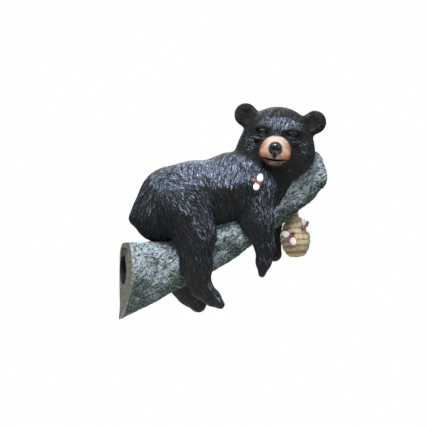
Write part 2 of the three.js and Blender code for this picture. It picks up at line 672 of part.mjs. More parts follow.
// ---------------------------------------------------------------- bees
function beeShape() {
  const size = BEE_LENGTH / BEE_DRAWN;
  const lumps = BEE_LUMPS.map(({ r, at, around, down }) => {
    const ball = new THREE.SphereGeometry(1, around, down);
    return ball.rotateZ(Math.PI / 2).scale(...r).translate(...at);
  });
  const wings = [-1, 1].map((side) => {
    const leaf = new THREE.SphereGeometry(1, 8, 4);
    leaf.rotateX(Math.PI / 2).scale(...BEE_WING.r);
    leaf.rotateX(side * radians(BEE_WING.dihedral)).rotateZ(side * radians(BEE_WING.sweep));
    return leaf.translate(-BEE_WING.back, side * BEE_WING.out, BEE_WING.up);
  });
  const parts = [...lumps, ...wings].map((g) => solidOf(g.scale(size, size, size)));
  return parts.reduce((a, b) => a.add(b));
}

// Sets a bee on a surface point, belly to the surface and head the way it faces.
function sit(bee, point, outward, ahead) {
  const n = unit(outward);
  const x = unit(sub(ahead, scale(n, dot(ahead, n))));
  const y = cross(n, x);
  const o = add(point, scale(n, TOUCH_GAP));
  return bee.transform([...x, 0, ...y, 0, ...n, 0, ...o, 1]);
}

const MEET_STEPS = 200;
const MEET_SHARE = 0.8;           // share of the clear distance taken at each step

// Where a straight line first meets a field.
function meet(field, from, along) {
  let p = from;
  for (let n = 0; n < MEET_STEPS; n += 1) p = add(p, scale(along, MEET_SHARE * field(p)));
  return p;
}

function hivePoint(t, turn) {
  const a = radians(turn);
  const lean = radians(-HIVE.lean);
  const r = hiveRadius(t) + HIVE.coilDepth;
  const out = [Math.cos(a), Math.sin(a), 0];
  const local = [out[0] * r, out[1] * r, t * (HIVE.high - HIVE.low)];
  const [c, s] = [Math.cos(lean), Math.sin(lean)];
  const spin = (v) => [v[0] * c + v[2] * s, v[1], v[2] * c - v[0] * s];
  return { point: add([HIVE.x, HIVE.y, HIVE.low], spin(local)), outward: spin(out) };
}

// ---------------------------------------------------------------- the whole object
function build() {
  const field = bearField();
  const drawn = relax(skin(field, BEAR_LOW, BEAR_HIGH, SKIN_CELL), field, RELAX_PASSES);
  const bear = solid(thin(drawn, BEAR_FACETS));
  const branch = solid(branchSkin());
  const casting = bear.add(branch).subtract(recessCutter());
  const clearBranch = solid(branchSkin(TOUCH_GAP));

  const bee = beeShape();
  const shoulder = meet(field, SHOULDER_BEE.from, SHOULDER_BEE.along);
  const front = hivePoint(FRONT_BEE.height, FRONT_BEE.turn);
  const side = hivePoint(SIDE_BEE.height, SIDE_BEE.turn);
  const onShoulder = sit(bee, shoulder, slope(field, shoulder), SHOULDER_BEE.ahead);
  const onFront = sit(bee, front.point, front.outward, FRONT_BEE.ahead);
  const onSide = sit(bee, side.point, side.outward, SIDE_BEE.ahead);
  const group = new THREE.Group();
  group.name = 'bear_on_branch';
  group.add(
    meshOf('bear_and_branch', casting, FINISH.coat),
    meshOf('beehive', hiveShape(clearBranch), FINISH.straw),
    meshOf('bee_on_shoulder', onShoulder, FINISH.bee),
    meshOf('bee_on_hive_front', onFront, FINISH.bee),
    meshOf('bee_on_hive_side', onSide, FINISH.bee),
    meshOf('hanger_plate', strapShape(), FINISH.strap),
  );
  return group;
}

export default build();
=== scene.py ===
"""A hand-painted cast bear cub dozing over a wall-hung branch, with its hive and three bees.

Lengths in the tables are millimetres. +X points away from the wall and +Z is up.
"""
import math

import bpy
import numpy as np
from mathutils import Matrix, kdtree


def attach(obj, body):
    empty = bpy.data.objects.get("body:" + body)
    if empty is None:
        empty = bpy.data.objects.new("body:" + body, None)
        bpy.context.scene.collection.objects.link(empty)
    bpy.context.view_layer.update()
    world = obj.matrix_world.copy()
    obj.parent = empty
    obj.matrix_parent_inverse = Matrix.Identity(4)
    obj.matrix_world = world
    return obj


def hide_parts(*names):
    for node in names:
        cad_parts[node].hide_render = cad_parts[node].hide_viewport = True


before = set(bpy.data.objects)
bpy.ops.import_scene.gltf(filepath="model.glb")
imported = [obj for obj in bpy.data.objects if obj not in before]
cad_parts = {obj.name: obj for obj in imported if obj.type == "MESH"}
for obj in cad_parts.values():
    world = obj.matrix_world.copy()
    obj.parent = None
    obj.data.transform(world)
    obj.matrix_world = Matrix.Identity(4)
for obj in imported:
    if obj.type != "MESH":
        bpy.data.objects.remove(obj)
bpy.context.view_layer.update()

MM = 0.001

# ------------------------------------------------------------------ the bear's build
JOINT = {
    "rump": (86, 0, 158), "seat": (66, 0, 131), "loin": (128, 0, 164.5),
    "ribs": (165, 0, 166.5), "withers": (197, -1, 180), "chest": (228, -2, 178),
    "nape": (247, -10, 208),
    "skull": (272, -22, 253), "throat": (272, -12, 214), "breast": (252, 6, 176),
    "tail": (20, 0, 124.5), "tail_root": (38, 0, 135),
    "hip": (94, -38, 143), "knee": (114, -46, 98), "shin": (114, -52, 44),
    "ankle": (119, -50, 18), "heel": (124, -50, 7), "ball": (143, -49, -10),
    "toe": (158, -48, -22),
    "far_hip": (100, 34, 144), "far_knee": (118, 42, 92), "far_ankle": (121, 48, 8),
    "far_heel": (131, 48, -9.5), "far_toe": (148, 46, -30.5),
    "shoulder": (216, -38, 171), "elbow": (226, -49, 116), "wrist": (240, -48, 74),
    "palm": (237.5, -47, 49), "fingers": (235, -45, 28.5),
    "far_shoulder": (256, 32, 178), "far_elbow": (279, 46, 118),
    "far_wrist": (287, 46, 76), "far_palm": (294, 45, 58),
}
# from, to, radius at each, fillet, and how its fur lies: "down" the flank, out of the
# haunch's "whorl", or "along" the limb
BODY = (
    ("rump", "loin", 54.5, 56, 1, "down"),
    ("seat", "rump", 48, 49, 14, "whorl"),
    ("loin", "ribs", 56, 57, 16, "down"),
    ("ribs", "withers", 57, 57, 10, "down"),
    ("withers", "chest", 57, 54, 14, "down"),
    ("chest", "nape", 54, 43, 20, "down"),
    ("nape", "skull", 43, 46, 16, "down"),
    ("breast", "throat", 42, 38, 26, "down"),
    ("tail_root", "tail", 16, 8.5, 14, "along"),
    ("hip", "knee", 45, 32, 10, "whorl"),
    ("knee", "shin", 33, 25.5, 16, "whorl"),
    ("shin", "ankle", 25.5, 18.5, 10, "along"),
    ("ankle", "heel", 18.5, 17.5, 8, "along"),
    ("heel", "ball", 16.5, 13.5, 8, "along"),
    ("ball", "toe", 13.5, 7.5, 6, "along"),
    ("far_hip", "far_knee", 46, 32, 18, "whorl"),
    ("far_knee", "far_ankle", 32, 25, 16, "along"),
    ("far_ankle", "far_heel", 25, 21, 8, "along"),
    ("far_heel", "far_toe", 20, 14, 8, "along"),
    ("shoulder", "elbow", 37, 26, 18, "along"),
    ("elbow", "wrist", 26, 16.5, 14, "along"),
    ("wrist", "palm", 16.5, 12, 8, "along"),
    ("palm", "fingers", 12, 6, 8, "along"),
    ("far_shoulder", "far_elbow", 36, 26, 18, "along"),
    ("far_elbow", "far_wrist", 26, 17, 14, "along"),
    ("far_wrist", "far_palm", 17, 13.5, 8, "along"),
)

HEAD_TURN = 23  # degrees from facing -Y towards the wall
HEAD_NOD = 1.8  # degrees down
HEAD_ROLL = 6.8  # degrees over onto the bear's left cheek
# Lumps in the head's own axes (side, up, front): centre, radii, fillet, and whether both sides
HEAD = (
    ((0, 9, -4), (62, 59, 51), 14, False),
    ((30, -13, 2), (38.5, 37, 38), 14, True),
    ((0, 20, 24), (40, 28, 26), 12, False),
    ((0, -8, 40), (29, 26, 26), 10, False),
    ((0, -9, 60), (20, 20, 22), 9, False),
    ((12, -18, 64), (15.5, 12.5, 14), 5, True),
    ((0, -33.5, 58), (14, 7.5, 14), 4, False),
    ((25, 26, 42), (15, 6, 9), 6, True),
)
EAR = ((61.5, 48, -8), (20, 20.5, 10), 12)
EAR_CUP = ((58.5, 45.5, 7), (13.5, 14.5, 9), 5)
EYE_SOCKET = ((25, 17.5, 53.5), (13, 7, 8), 6)
EYE = ((25, 17, 44), (6.5, 6.5, 6.5), 1)
UPPER_LID = ((25, 20.9, 44.8), (8.6, 3.6, 6.8), 2)
LOWER_LID = ((25.5, 11.6, 45.2), (9.0, 2.8, 6.2), 2)
EYE_BAG = ((28, 5.5, 44), (12, 3.2, 6), 4)
NOSE = ((0, -7.5, 79.5), (11.3, 10.5, 8.5), 2)
NOSTRIL = ((5.4, -9.5, 86.5), (2.8, 1.9, 3.4), 1.5)
PHILTRUM = ((0, -20, 79), (0.9, 7, 6), 1.5)
MOUTH = ((0, -28, 66), (23, 0.7, 15), 1.2)
MOUTH_CURVE = 0.004  # how fast the mouth's corners rise
# Where the head's fur and the bare muzzle lie, as eggs in the head's axes
SKULL_FUR = ((0, 2, 0), (66, 62, 60))
MUZZLE_BASE = ((0, -13, 61), (28.5, 28, 29))
MUZZLE_FRONT = ((0, -6, 66), (20, 22, 20))

# Grid that the skin is drawn on: coarser over the body, finer over the head
GRID_LOW = (-8, -132, -60)
GRID_HIGH = (368, 106, 338)
BODY_STEP = 1.42
HEAD_STEP = 1.08
DEPTH_STEP = 1.25
HEAD_FROM = (205, 200)
GRID_MARGIN = 5  # worked out this far beyond the skin
BLOCK = 8  # grid lines that are tested together

# Where the skin is parted so that no piece has too many facets
WAIST = 152
NECK = ((246, -20, 206), (0.45, -0.28, 0.85))
NECK_DROP = 40  # the neck's cut goes no lower than this under its middle

FUR_SEED = 7
FUR_SUNK = 0.6  # the skin between locks lies this far in
# Each lock's size on the broad body, and how much less it is on the head
LOCK_LENGTH = (21, 12)
LOCK_WIDTH = (4.0, 1.4)
LOCK_HEIGHT = (1.5, 0.65)
LIMB_SMALLNESS = 0.62  # how far the low limbs' locks go towards the head's
LOCK_SWING = 0.2  # radians
LOCK_BEND = 0.013
WHORL = (50, 48, 186)

# ------------------------------------------------------------------ the branch's build
# x, z of the axis, half height, near and far half widths, skew, and the middle's place
BRANCH = np.array((
    (0, 16.5, 67.5, 56, 33, 0.55, -5),
    (9, 19.5, 64.5, 55, 34, 0.50, -4),
    (30, 27.0, 56.5, 50, 36, 0.30, -3),
    (60, 36.5, 49.0, 45, 38, 0.10, -1),
    (100, 50.0, 43.5, 41, 38, 0, 0),
    (165, 81.5, 39.0, 38, 37, 0, 0),
    (230, 120.5, 37.5, 37, 36, 0, 0),
    (300, 169.5, 36.5, 37, 36, 0, 0),
    (356, 210.0, 35.5, 36, 35, 0, 0),
), dtype=float)
SECTION_POWER = 2.25  # a little squarer than an ellipse
# How square the section is at the wall: below and above its middle
WALL_POWER = {"near": (1.4, 1.5), "far": (1.9, 4.5)}
THIN_FAR = 6  # least half width on the far side
FLARE = 60  # length over which the wall end's shape fades out
END_TILT = 12  # degrees that the free end leans back
END_LEAN_IN = 45  # length over which it comes to that lean
UPRIGHT_RINGS = 90  # length over which the rings turn square to the axis
BARK_LUMP = 1.3
LUMP_FADE = 40  # length over which the swellings rise from the wall
# Slow swellings of the bark: waves round, pace along, start, share
SWELLS = ((3, 0.045, 0, 1), (5, -0.083, 1, 0.7))
END_ROUNDING = 8  # length over which the free end rounds off
END_ROUND = 0.96  # how much of a quarter turn the rounding makes
END_FACE = 0.62  # size of the sawn end face, as a share of the section
END_HOLLOW = 3  # how far that face dips in

BRANCH_COLUMNS = 236
BARK_STEP = 1.32
EDGE_ROWS = 7
TIP_ROWS = 17
FLOOR_ROWS = (0.02, 0.3, 0.6, 0.85, 0.97)
SIDE_ROWS = 9
RECESS_ROWS = len(FLOOR_ROWS) + SIDE_ROWS
FACE_ROWS = 30

BARK_AXIS = np.array((0.86, 0.0, 0.51))
BARK_HEIGHT = 2.8
BARK_SUNK = 1.5
# Where the bark turns from long plates to small pebbles
PEBBLY = (60, 210)
# Stirring of the bark's folds: size of swell, random seed, reach
BARK_STIR = ((15, 40, 5.0), (6, 50, 1.6))
# Folds: size along, across and through, seed, where each is full, share at the wall and the tip
BARK_FOLDS = (
    ((20, 7.0, 7.0), 3, 0.30, 0.42, 0.20),
    ((8.0, 4.0, 4.0), 11, 0.34, 0.34, 0.34),
    ((4.2, 2.8, 2.8), 19, 0.45, 0.16, 0.38),
)

RECESS = {"y": 0, "z": 38, "half_width": 23, "half_height": 25, "depth": 16, "draft": 0.9}
STRAP = {"length": 40, "height": 13, "thickness": 1.5, "y": -3, "z": 66.5, "inset": 1.2, "gap": 0.3}
SEAT_MARGIN = 0.8

# ------------------------------------------------------------------ the hive and the bees
HIVE = {"x": 321.8, "y": 6, "low": 53, "high": 134, "lean": 4, "coils": 7, "depth": 1.6,
        "across": 54, "stem_radius": 8.4, "stem_length": 14}
HIVE_WIDEST = 0.42
# Reach and roundness of the curve below the widest place and above it
HIVE_BOWL = (0.44, 2.0)
HIVE_CROWN = (0.52, 1.7)
COILED = 0.92  # share of the height that the coils cover
COIL_WANDER = 0.10
COIL_ROLL = 0.6  # below 1 the coils are fuller and the grooves sharper
WELD = 0.01 * MM
HIVE_COLUMNS = 97
HIVE_ROWS = 190

# The bee is drawn at one size and scaled to its length
BEE_LENGTH = 22.5
BEE_DRAWN = 18.6
TOUCH_GAP = 0.3  # between a bee's belly and what it sits on
SHOULDER_SPOT = (215, -160, 183)  # straight out from where the shoulder's bee sits
# Lumps: name, middle, half sizes, rings along and facets round
BEE_LUMPS = (
    ("abdomen", (-4.4, 0, 3.6), (5.6, 3.7, 3.4), 30, 26),
    ("thorax", (2.2, 0, 3.9), (3.6, 3.4, 3.3), 20, 24),
    ("head", (6.3, 0, 3.4), (2.3, 2.5, 2.1), 16, 20),
    ("eye", (7.0, 1.7, 3.8), (1.0, 0.8, 1.1), 8, 10),
    ("eye", (7.0, -1.7, 3.8), (1.0, 0.8, 1.1), 8, 10),
)
BEE_TONE = {"thorax": 0.6, "head": 0.3, "eye": 0.0, "wing": 1.0, "limb": 0.15}
BEE_RINGS = 13.0
WING = {"radii": (4.5, 6.3, 0.75), "rings": 24, "facets": 32, "root": (-0.4, 7.2, 6.3),
        "tilt": 14, "sweep": 12}
FEELER = ((7.6, 0.9, 4.6), (8.8, 1.5, 5.6), (9.6, 2.3, 5.4))
FEELER_RADII = (0.32, 0.28, 0.22)
# Where each leg leaves the body, and how far forward its foot is
LEGS = ((3.6, 1.6), (2.0, 0.2), (0.6, -1.8))
LEG_RADII = (0.5, 0.45, 0.4, 0.3)


# ------------------------------------------------------------------ the paints
# Red, green and blue on the 0 to 255 scale
PAINT = {
    "cold black": (9, 12, 14), "warm black": (18, 17, 15), "grey fur": (86, 96, 106),
    "blue-grey fur and highlight": (172, 190, 218), "cream muzzle": (238, 214, 200),
    "orange muzzle": (202, 142, 106), "lower lip": (138, 106, 86), "mouth": (34, 22, 17),
    "nose": (26, 22, 24), "eye": (16, 11, 10),
    "blue bark": (86, 106, 112), "grey bark": (112, 126, 124), "shaded mossy bark": (36, 50, 40),
    "brushed bark": (194, 210, 220), "brushed moss": (140, 158, 146),
    "bark ridge": (212, 226, 236), "moss ridge": (168, 188, 178), "crease": (26, 36, 36),
    "bark wash and shade": (28, 34, 31), "dull saw cut": (112, 112, 100), "pale saw cut": (166, 170, 160),
    "recess": (18, 17, 15),
    "dull straw": (190, 166, 124), "bright straw": (230, 212, 180), "shaded low straw": (152, 134, 90),
    "groove wash and shade": (88, 64, 34), "brushed straw": (246, 238, 220),
    "bee brown": (70, 32, 25), "bee red": (140, 78, 62), "brushed bee": (234, 202, 190),
    "wing": (254, 252, 252), "wing wash": (222, 214, 208),
    "dull metal": (120, 118, 104), "worn metal": (168, 166, 150),
}
# Where the pale blue-grey was brushed on the body, with painted highlight where light falls on the fur:
# from, to (x, z), reach at each end, strength
BODY_FROST_AND_HIGHLIGHT = (
    ((60, 186), (120, 204), 32, 40, 0.85),
    ((110, 204), (170, 204), 42, 44, 0.95),
    ((170, 204), (214, 214), 44, 40, 0.9),
    ((214, 214), (240, 160), 46, 34, 0.8),
    ((44, 170), (36, 128), 44, 34, 0.55),
    ((86, 172), (118, 132), 56, 48, 0.7),
    ((118, 132), (132, 90), 46, 34, 0.72),
    ((120, 80), (128, 20), 34, 24, 0.5),
    ((236, 150), (238, 100), 46, 32, 0.75),
    ((250, 110), (252, 50), 20, 16, 0.8),
    ((236, 90), (238, 40), 24, 18, 0.65),
    ((140, 60), (142, 10), 16, 16, 0.6),
    ((140, 12), (158, -16), 18, 12, 0.8),
    ((130, 150), (215, 140), 50, 50, 0.3),
)
# Where it was brushed on each side of the face, with painted highlight on the brow, lids and cheeks:
# middle (side, up), reach each way, strength
FACE_FROST_AND_HIGHLIGHT = (
    ((31, 8), (20, 8), 0.85),
    ((25, 21.5), (13, 4.5), 0.75),
    ((46, -2), (22, 30), 0.7),
    ((0, 17), (12, 8), 0.9),
)
# The brow band, the crown and the ear rims: brushed pale paint with painted highlight
BROW_FROST_AND_HIGHLIGHT = ((9, 36, 38), (64, 21, 46))
CROWN_FROST_AND_HIGHLIGHT = 0.62
EAR_FROST_AND_HIGHLIGHT = 0.3
NOSE_PAINT = ((0, -8.2, 79.5), (12.0, 12.0, 9.5))
LIP_LINE = (-31.5, -29)
CHIN_LINE = -37.5
CHIN_CURVE = 0.02
# How fast the painted hairs change: along a lock, across it, and from lock to lock
HAIR_PITCH = (0.07, 0.8, 1.0)
BRANCH_SLOPE = -math.radians(31)
CREASE_STRETCH = 2.1


# ------------------------------------------------------------------ solid fields
def unit(v):
    return v / np.maximum(np.linalg.norm(v, axis=-1, keepdims=True), 1e-9)


def ease(low, high, v):
    """0 below low, 1 above high, and smooth between."""
    t = np.clip((v - low) / (high - low), 0, 1)
    return t * t * (3 - 2 * t)


def blend(a, b, soft):
    h = np.maximum(soft - np.abs(a - b), 0) / soft
    return np.minimum(a, b) - h * h * soft * 0.25


def carve(a, b, soft):
    return -blend(-a, b, soft)


def taper_field(p, start, end, r_start, r_end):
    """Distance to a ball-ended taper."""
    start = np.array(start, dtype=np.float32)
    axis = np.array(end, dtype=np.float32) - start
    span = np.linalg.norm(axis)
    q = p - start
    along = q @ (axis / span)
    across = np.sqrt(np.maximum(np.einsum("ij,ij->i", q, q) - along * along, 0))
    lean = (r_start - r_end) / span
    rise = math.sqrt(1 - lean * lean)
    k = rise * along - lean * across
    side = rise * across + lean * along - r_start
    first = np.hypot(across, along) - r_start
    last = np.hypot(across, along - span) - r_end
    return np.where(k < 0, first, np.where(k > rise * span, last, side))


def egg_field(q, centre, radii):
    """Distance to an ellipsoid, near its surface."""
    r = np.array(radii, dtype=np.float32)
    d = (q - np.array(centre, dtype=np.float32)) / r
    k0 = np.sqrt(np.einsum("ij,ij->i", d, d))
    e = d / r
    k1 = np.sqrt(np.einsum("ij,ij->i", e, e))
    return k0 * (k0 - 1) / np.maximum(k1, 1e-6)


def head_axes():
    turn, nod, roll = (math.radians(v) for v in (HEAD_TURN, HEAD_NOD, HEAD_ROLL))
    front = np.array((-math.sin(turn) * math.cos(nod), -math.cos(turn) * math.cos(nod),
                      -math.sin(nod)))
    level_side = unit(np.cross((0, 0, 1), front))
    level_up = np.cross(front, level_side)
    side = level_side * math.cos(roll) - level_up * math.sin(roll)
    up = level_up * math.cos(roll) + level_side * math.sin(roll)
    return np.stack((side, up, front), axis=1).astype(np.float32)


HEAD_AXES = head_axes()
SKULL = np.array(JOINT["skull"], dtype=np.float32)
HEAD_REACH = 125  # no part of the head is further than this from the skull's middle


def into_head(p):
    return (p - SKULL) @ HEAD_AXES


def flipped(q):
    return q * np.array((-1, 1, 1), dtype=np.float32)


def paired_egg(q, shape):
    """Distance to the nearer of an ellipsoid and its mirror image."""
    return np.minimum(egg_field(q, shape[0], shape[1]), egg_field(flipped(q), shape[0], shape[1]))


def mouth_field(q):
    bent = q.copy()
    bent[:, 1] -= MOUTH_CURVE * q[:, 0] ** 2
    return egg_field(bent, MOUTH[0], MOUTH[1])


def head_field(q, d):
    """Adds the head to a field, q being the same points in the head's axes."""
    for centre, radii, soft, both in HEAD:
        d = blend(d, egg_field(q, centre, radii), soft)
        if both:
            d = blend(d, egg_field(flipped(q), centre, radii), soft)
    d = blend(d, paired_egg(q, EAR), EAR[2])
    d = carve(d, paired_egg(q, EAR_CUP), EAR_CUP[2])
    d = carve(d, paired_egg(q, EYE_SOCKET), EYE_SOCKET[2])
    d = blend(d, paired_egg(q, EYE), EYE[2])
    for lid in (UPPER_LID, LOWER_LID, EYE_BAG):
        d = blend(d, paired_egg(q, lid), lid[2])
    d = carve(d, mouth_field(q), MOUTH[2])
    d = carve(d, egg_field(q, PHILTRUM[0], PHILTRUM[1]), PHILTRUM[2])
    d = blend(d, egg_field(q, NOSE[0], NOSE[1]), NOSE[2])
    return carve(d, paired_egg(q, NOSTRIL), NOSTRIL[2])


def bear_field(p):
    d = np.full(len(p), 1e3, dtype=np.float32)
    for start, end, r_start, r_end, soft, _ in BODY:
        d = blend(d, taper_field(p, JOINT[start], JOINT[end], r_start, r_end), soft)
    q = into_head(p)
    near = np.flatnonzero(np.einsum("ij,ij->i", q, q) < HEAD_REACH ** 2)
    if len(near):
        d[near] = head_field(q[near], d[near])
    return d


def slope(field, p, step=0.25):
    """A field's slope at points."""
    out = np.empty_like(p)
    for n in range(3):
        shift = np.zeros(3, dtype=p.dtype)
        shift[n] = step
        out[:, n] = (field(p + shift) - field(p - shift)) / (2 * step)
    return out


# ------------------------------------------------------------------ skin over a field
def graded(low, high, change, coarse, fine):
    """Grid lines from low to high, coarse up to `change` and fine after it."""
    first = np.arange(low, change, coarse)
    return np.concatenate((first, np.arange(first[-1] + fine, high + fine, fine))).astype(np.float32)


def sample_field(field, lines):
    """Field values on a grid, worked out only near the surface."""
    counts = [len(line) for line in lines]
    starts = [np.arange(0, n, BLOCK) for n in counts]
    middles = []
    halves = []
    for line, start in zip(lines, starts):
        end = np.minimum(start + BLOCK, len(line) - 1)
        middles.append((line[start] + line[end]) / 2)
        halves.append((line[end] - line[start]) / 2)
    centre = np.stack(np.meshgrid(*middles, indexing="ij"), axis=-1).reshape(-1, 3)
    half = np.stack(np.meshgrid(*halves, indexing="ij"), axis=-1).reshape(-1, 3)
    coarse = field(centre)
    reach = 1.35 * np.linalg.norm(half, axis=1) + GRID_MARGIN
    shape = [len(start) for start in starts]

    def spread(v):
        v = v.reshape(shape)
        for axis in range(3):
            v = np.repeat(v, BLOCK, axis=axis)
        return v[:counts[0], :counts[1], :counts[2]]

    value = spread(np.sign(coarse).astype(np.float32) * 10).copy()
    where = np.nonzero(spread(np.abs(coarse) < reach))
    chunk = 400000
    for n in range(0, len(where[0]), chunk):
        part = tuple(w[n:n + chunk] for w in where)
        value[part] = field(np.stack([line[w] for line, w in zip(lines, part)], axis=1))
    return value


def edges_of_cube():
    corners = [(i, j, k) for i in (0, 1) for j in (0, 1) for k in (0, 1)]
    return [(a, b) for a in corners for b in corners
            if sum(abs(m - n) for m, n in zip(a, b)) == 1 and a < b]


def draw_skin(field, lines):
    """A closed skin of four-sided faces over a field: (points, faces)."""
    value = sample_field(field, lines)
    inside = value < 0
    count = np.zeros([n - 1 for n in value.shape], dtype=np.uint8)
    for i in (0, 1):
        for j in (0, 1):
            for k in (0, 1):
                count += inside[i:i + count.shape[0], j:j + count.shape[1], k:k + count.shape[2]]
    cell = np.nonzero((count > 0) & (count < 8))
    number = np.full(count.shape, -1, dtype=np.int32)
    number[cell] = np.arange(len(cell[0]))
    total = np.zeros((len(cell[0]), 3), dtype=np.float32)
    hits = np.zeros(len(cell[0]), dtype=np.float32)
    for a, b in edges_of_cube():
        at_a = tuple(c + s for c, s in zip(cell, a))
        at_b = tuple(c + s for c, s in zip(cell, b))
        va, vb = value[at_a], value[at_b]
        crossed = (va < 0) != (vb < 0)
        t = np.where(crossed, va / np.where(crossed, va - vb, 1), 0)[:, None]
        pa = np.stack([line[w] for line, w in zip(lines, at_a)], axis=1)
        pb = np.stack([line[w] for line, w in zip(lines, at_b)], axis=1)
        total += np.where(crossed[:, None], pa + t * (pb - pa), 0)
        hits += crossed
    points = total / hits[:, None]
    faces = []
    for axis in range(3):
        one, two = (axis + 1) % 3, (axis + 2) % 3
        ahead = np.take(inside, range(1, inside.shape[axis]), axis=axis)
        here = np.take(inside, range(inside.shape[axis] - 1), axis=axis)
        crossing = list(np.nonzero(ahead != here))
        outward = here[tuple(crossing)]
        corner = []
        for back_one, back_two in ((1, 1), (0, 1), (0, 0), (1, 0)):
            spot = list(crossing)
            spot[one] = spot[one] - back_one
            spot[two] = spot[two] - back_two
            corner.append(number[tuple(spot)])
        quad = np.stack(corner, axis=1)
        faces.append(np.where(outward[:, None], quad, quad[:, ::-1]))
    return points, np.concatenate(faces)


def neighbour_mean(points, faces):
    """The mean of each point's neighbours round its faces."""
    total = np.zeros((len(points), 3))
    hits = np.zeros(len(points))
    for n in range(4):
        for other in ((n + 1) % 4, (n + 3) % 4):
            for axis in range(3):
                total[:, axis] += np.bincount(faces[:, n], points[faces[:, other], axis], len(points))
            hits += np.bincount(faces[:, n], minlength=len(points))
    return (total / hits[:, None]).astype(np.float32)


def point_normals(points, faces):
    across = points[faces[:, 2]] - points[faces[:, 0]]
    along = points[faces[:, 3]] - points[faces[:, 1]]
    face_normal = np.cross(across, along)
    out = np.zeros((len(points), 3))
    for n in range(4):
        for axis in range(3):
            out[:, axis] += np.bincount(faces[:, n], face_normal[:, axis], len(points))
    return unit(out).astype(np.float32)


def settle(field, points):
    """Moves points onto a field's surface."""
    g = slope(field, points)
    return points - g * (field(points) / np.maximum(np.einsum("ij,ij->i", g, g), 0.3))[:, None]


# ------------------------------------------------------------------ fur
def fur_regions(p):
    """How much each point belongs to the head, the muzzle and the low limbs, from 0 to 1."""
    q = into_head(p)
    skull = egg_field(q, *SKULL_FUR)
    ears = paired_egg(q, EAR)
    head = 1 - ease(-2, 14, np.minimum(skull, ears))
    front = blend(egg_field(q, *MUZZLE_BASE), egg_field(q, *MUZZLE_FRONT), 6)
    muzzle = 1 - ease(-2.5, 1.5, front)
    limbs = 1 - ease(60, 130, p[:, 2] - 0.42 * p[:, 0] + 46)
    return head, muzzle, limbs


def fur_direction(p, normal):
    """The way the fur lies at points, flat on the surface."""
    total = np.zeros_like(p)
    for start, end, r_start, r_end, _, lie in BODY:
        d = taper_field(p, JOINT[start], JOINT[end], r_start, r_end)
        weight = np.exp(-(np.maximum(d, 0) / 9) ** 2)[:, None]
        limb = np.array(JOINT[end], dtype=float) - JOINT[start]
        if lie == "along":
            total += weight * unit(limb)
        elif lie == "down":
            total += weight * np.array((-0.12, 0, -1.0))
        else:
            whorl = np.stack((np.full(len(p), WHORL[0]), np.sign(p[:, 1]) * WHORL[1],
                              np.full(len(p), WHORL[2])), axis=1)
            total += 1.4 * weight * unit(p - whorl)
    head, _, _ = fur_regions(p)
    q = into_head(p)
    from_nose = q - np.array((0, 2, 70), dtype=np.float32)
    from_nose[:, 2] *= 0.6
    away = unit(from_nose) @ HEAD_AXES.T
    total = total * (1 - head[:, None]) + 2 * head[:, None] * away
    total -= normal * np.einsum("ij,ij->i", total, normal)[:, None]
    return unit(total)


def scatter(points, spacing, rng):
    """One random point for each box of the given size: their numbers."""
    order = rng.permutation(len(points))
    key = np.floor(points[order] / spacing[order][:, None]).astype(np.int64)
    code = (key[:, 0] * 4096 + key[:, 1]) * 4096 + key[:, 2]
    code = code * 4 + (spacing[order] * 4).astype(np.int64) % 4
    _, first = np.unique(code, return_index=True)
    return order[first]


def comb_fur(points, normal):
    """Raises overlapping locks of fur: each point's height, crest share and lock coordinates."""
    rng = np.random.default_rng(FUR_SEED)
    head, muzzle, limbs = fur_regions(points)
    spacing = np.where(head > 0.5, 3.0, np.where(limbs > 0.5, 4.0, 4.6))
    seeds = scatter(points, spacing, rng)
    at = points[seeds]
    n = normal[seeds]
    lie = fur_direction(at, n)
    side = np.cross(n, lie)
    swing = rng.normal(0, LOCK_SWING, len(seeds))[:, None]
    lie = lie * np.cos(swing) + side * np.sin(swing)
    side = np.cross(n, lie)
    small = np.maximum(head[seeds], LIMB_SMALLNESS * limbs[seeds])
    long = (LOCK_LENGTH[0] - LOCK_LENGTH[1] * small) * rng.uniform(0.75, 1.3, len(seeds))
    wide = (LOCK_WIDTH[0] - LOCK_WIDTH[1] * small) * rng.uniform(0.8, 1.25, len(seeds))
    high = (LOCK_HEIGHT[0] - LOCK_HEIGHT[1] * small) * (1 - 0.9 * muzzle[seeds])
    high = high * rng.uniform(0.7, 1.1, len(seeds))
    bend = rng.normal(0, LOCK_BEND, len(seeds))
    tree = kdtree.KDTree(len(points))
    for number, point in enumerate(points.tolist()):
        tree.insert(point, number)
    tree.balance()
    height = np.zeros(len(points), dtype=np.float32)
    crest = np.zeros(len(points), dtype=np.float32)
    lock = np.zeros((len(points), 3), dtype=np.float32)
    for s in range(len(seeds)):
        near = np.array([found[1] for found in tree.find_range(at[s], 0.56 * long[s])])
        q = points[near] - at[s]
        u = q @ lie[s]
        v = q @ side[s] - bend[s] * u * u
        t = np.clip(u / long[s] + 0.5, 0, 1)
        width = 0.5 * wide[s] * (4 * t ** 0.8 * (1 - t ** 0.8) + 1e-4) ** 0.6
        ridge = np.maximum(1 - (v / width) ** 2, 0)
        ridge *= (0.6 + 0.4 * t) * (normal[near] @ n[s] > 0.1)
        better = high[s] * ridge > height[near]
        chosen = near[better]
        height[chosen] = high[s] * ridge[better]
        crest[chosen] = ridge[better]
        lock[chosen, 0] = u[better]
        lock[chosen, 1] = v[better]
        lock[chosen, 2] = s * 0.37 % 10
    return height, crest, lock


def capsule(p, a, b, r_a, r_b):
    """1 on a line from a to b seen from the side, fading to 0 at its radius."""
    a = np.array(a, dtype=float)
    b = np.array(b, dtype=float)
    flat = p[:, (0, 2)]
    t = np.clip(((flat - a) @ (b - a)) / ((b - a) @ (b - a)), 0, 1)
    d = np.linalg.norm(flat - (a + t[:, None] * (b - a)), axis=1)
    return 1 - ease(0.45, 1.0, d / (r_a + t * (r_b - r_a)))


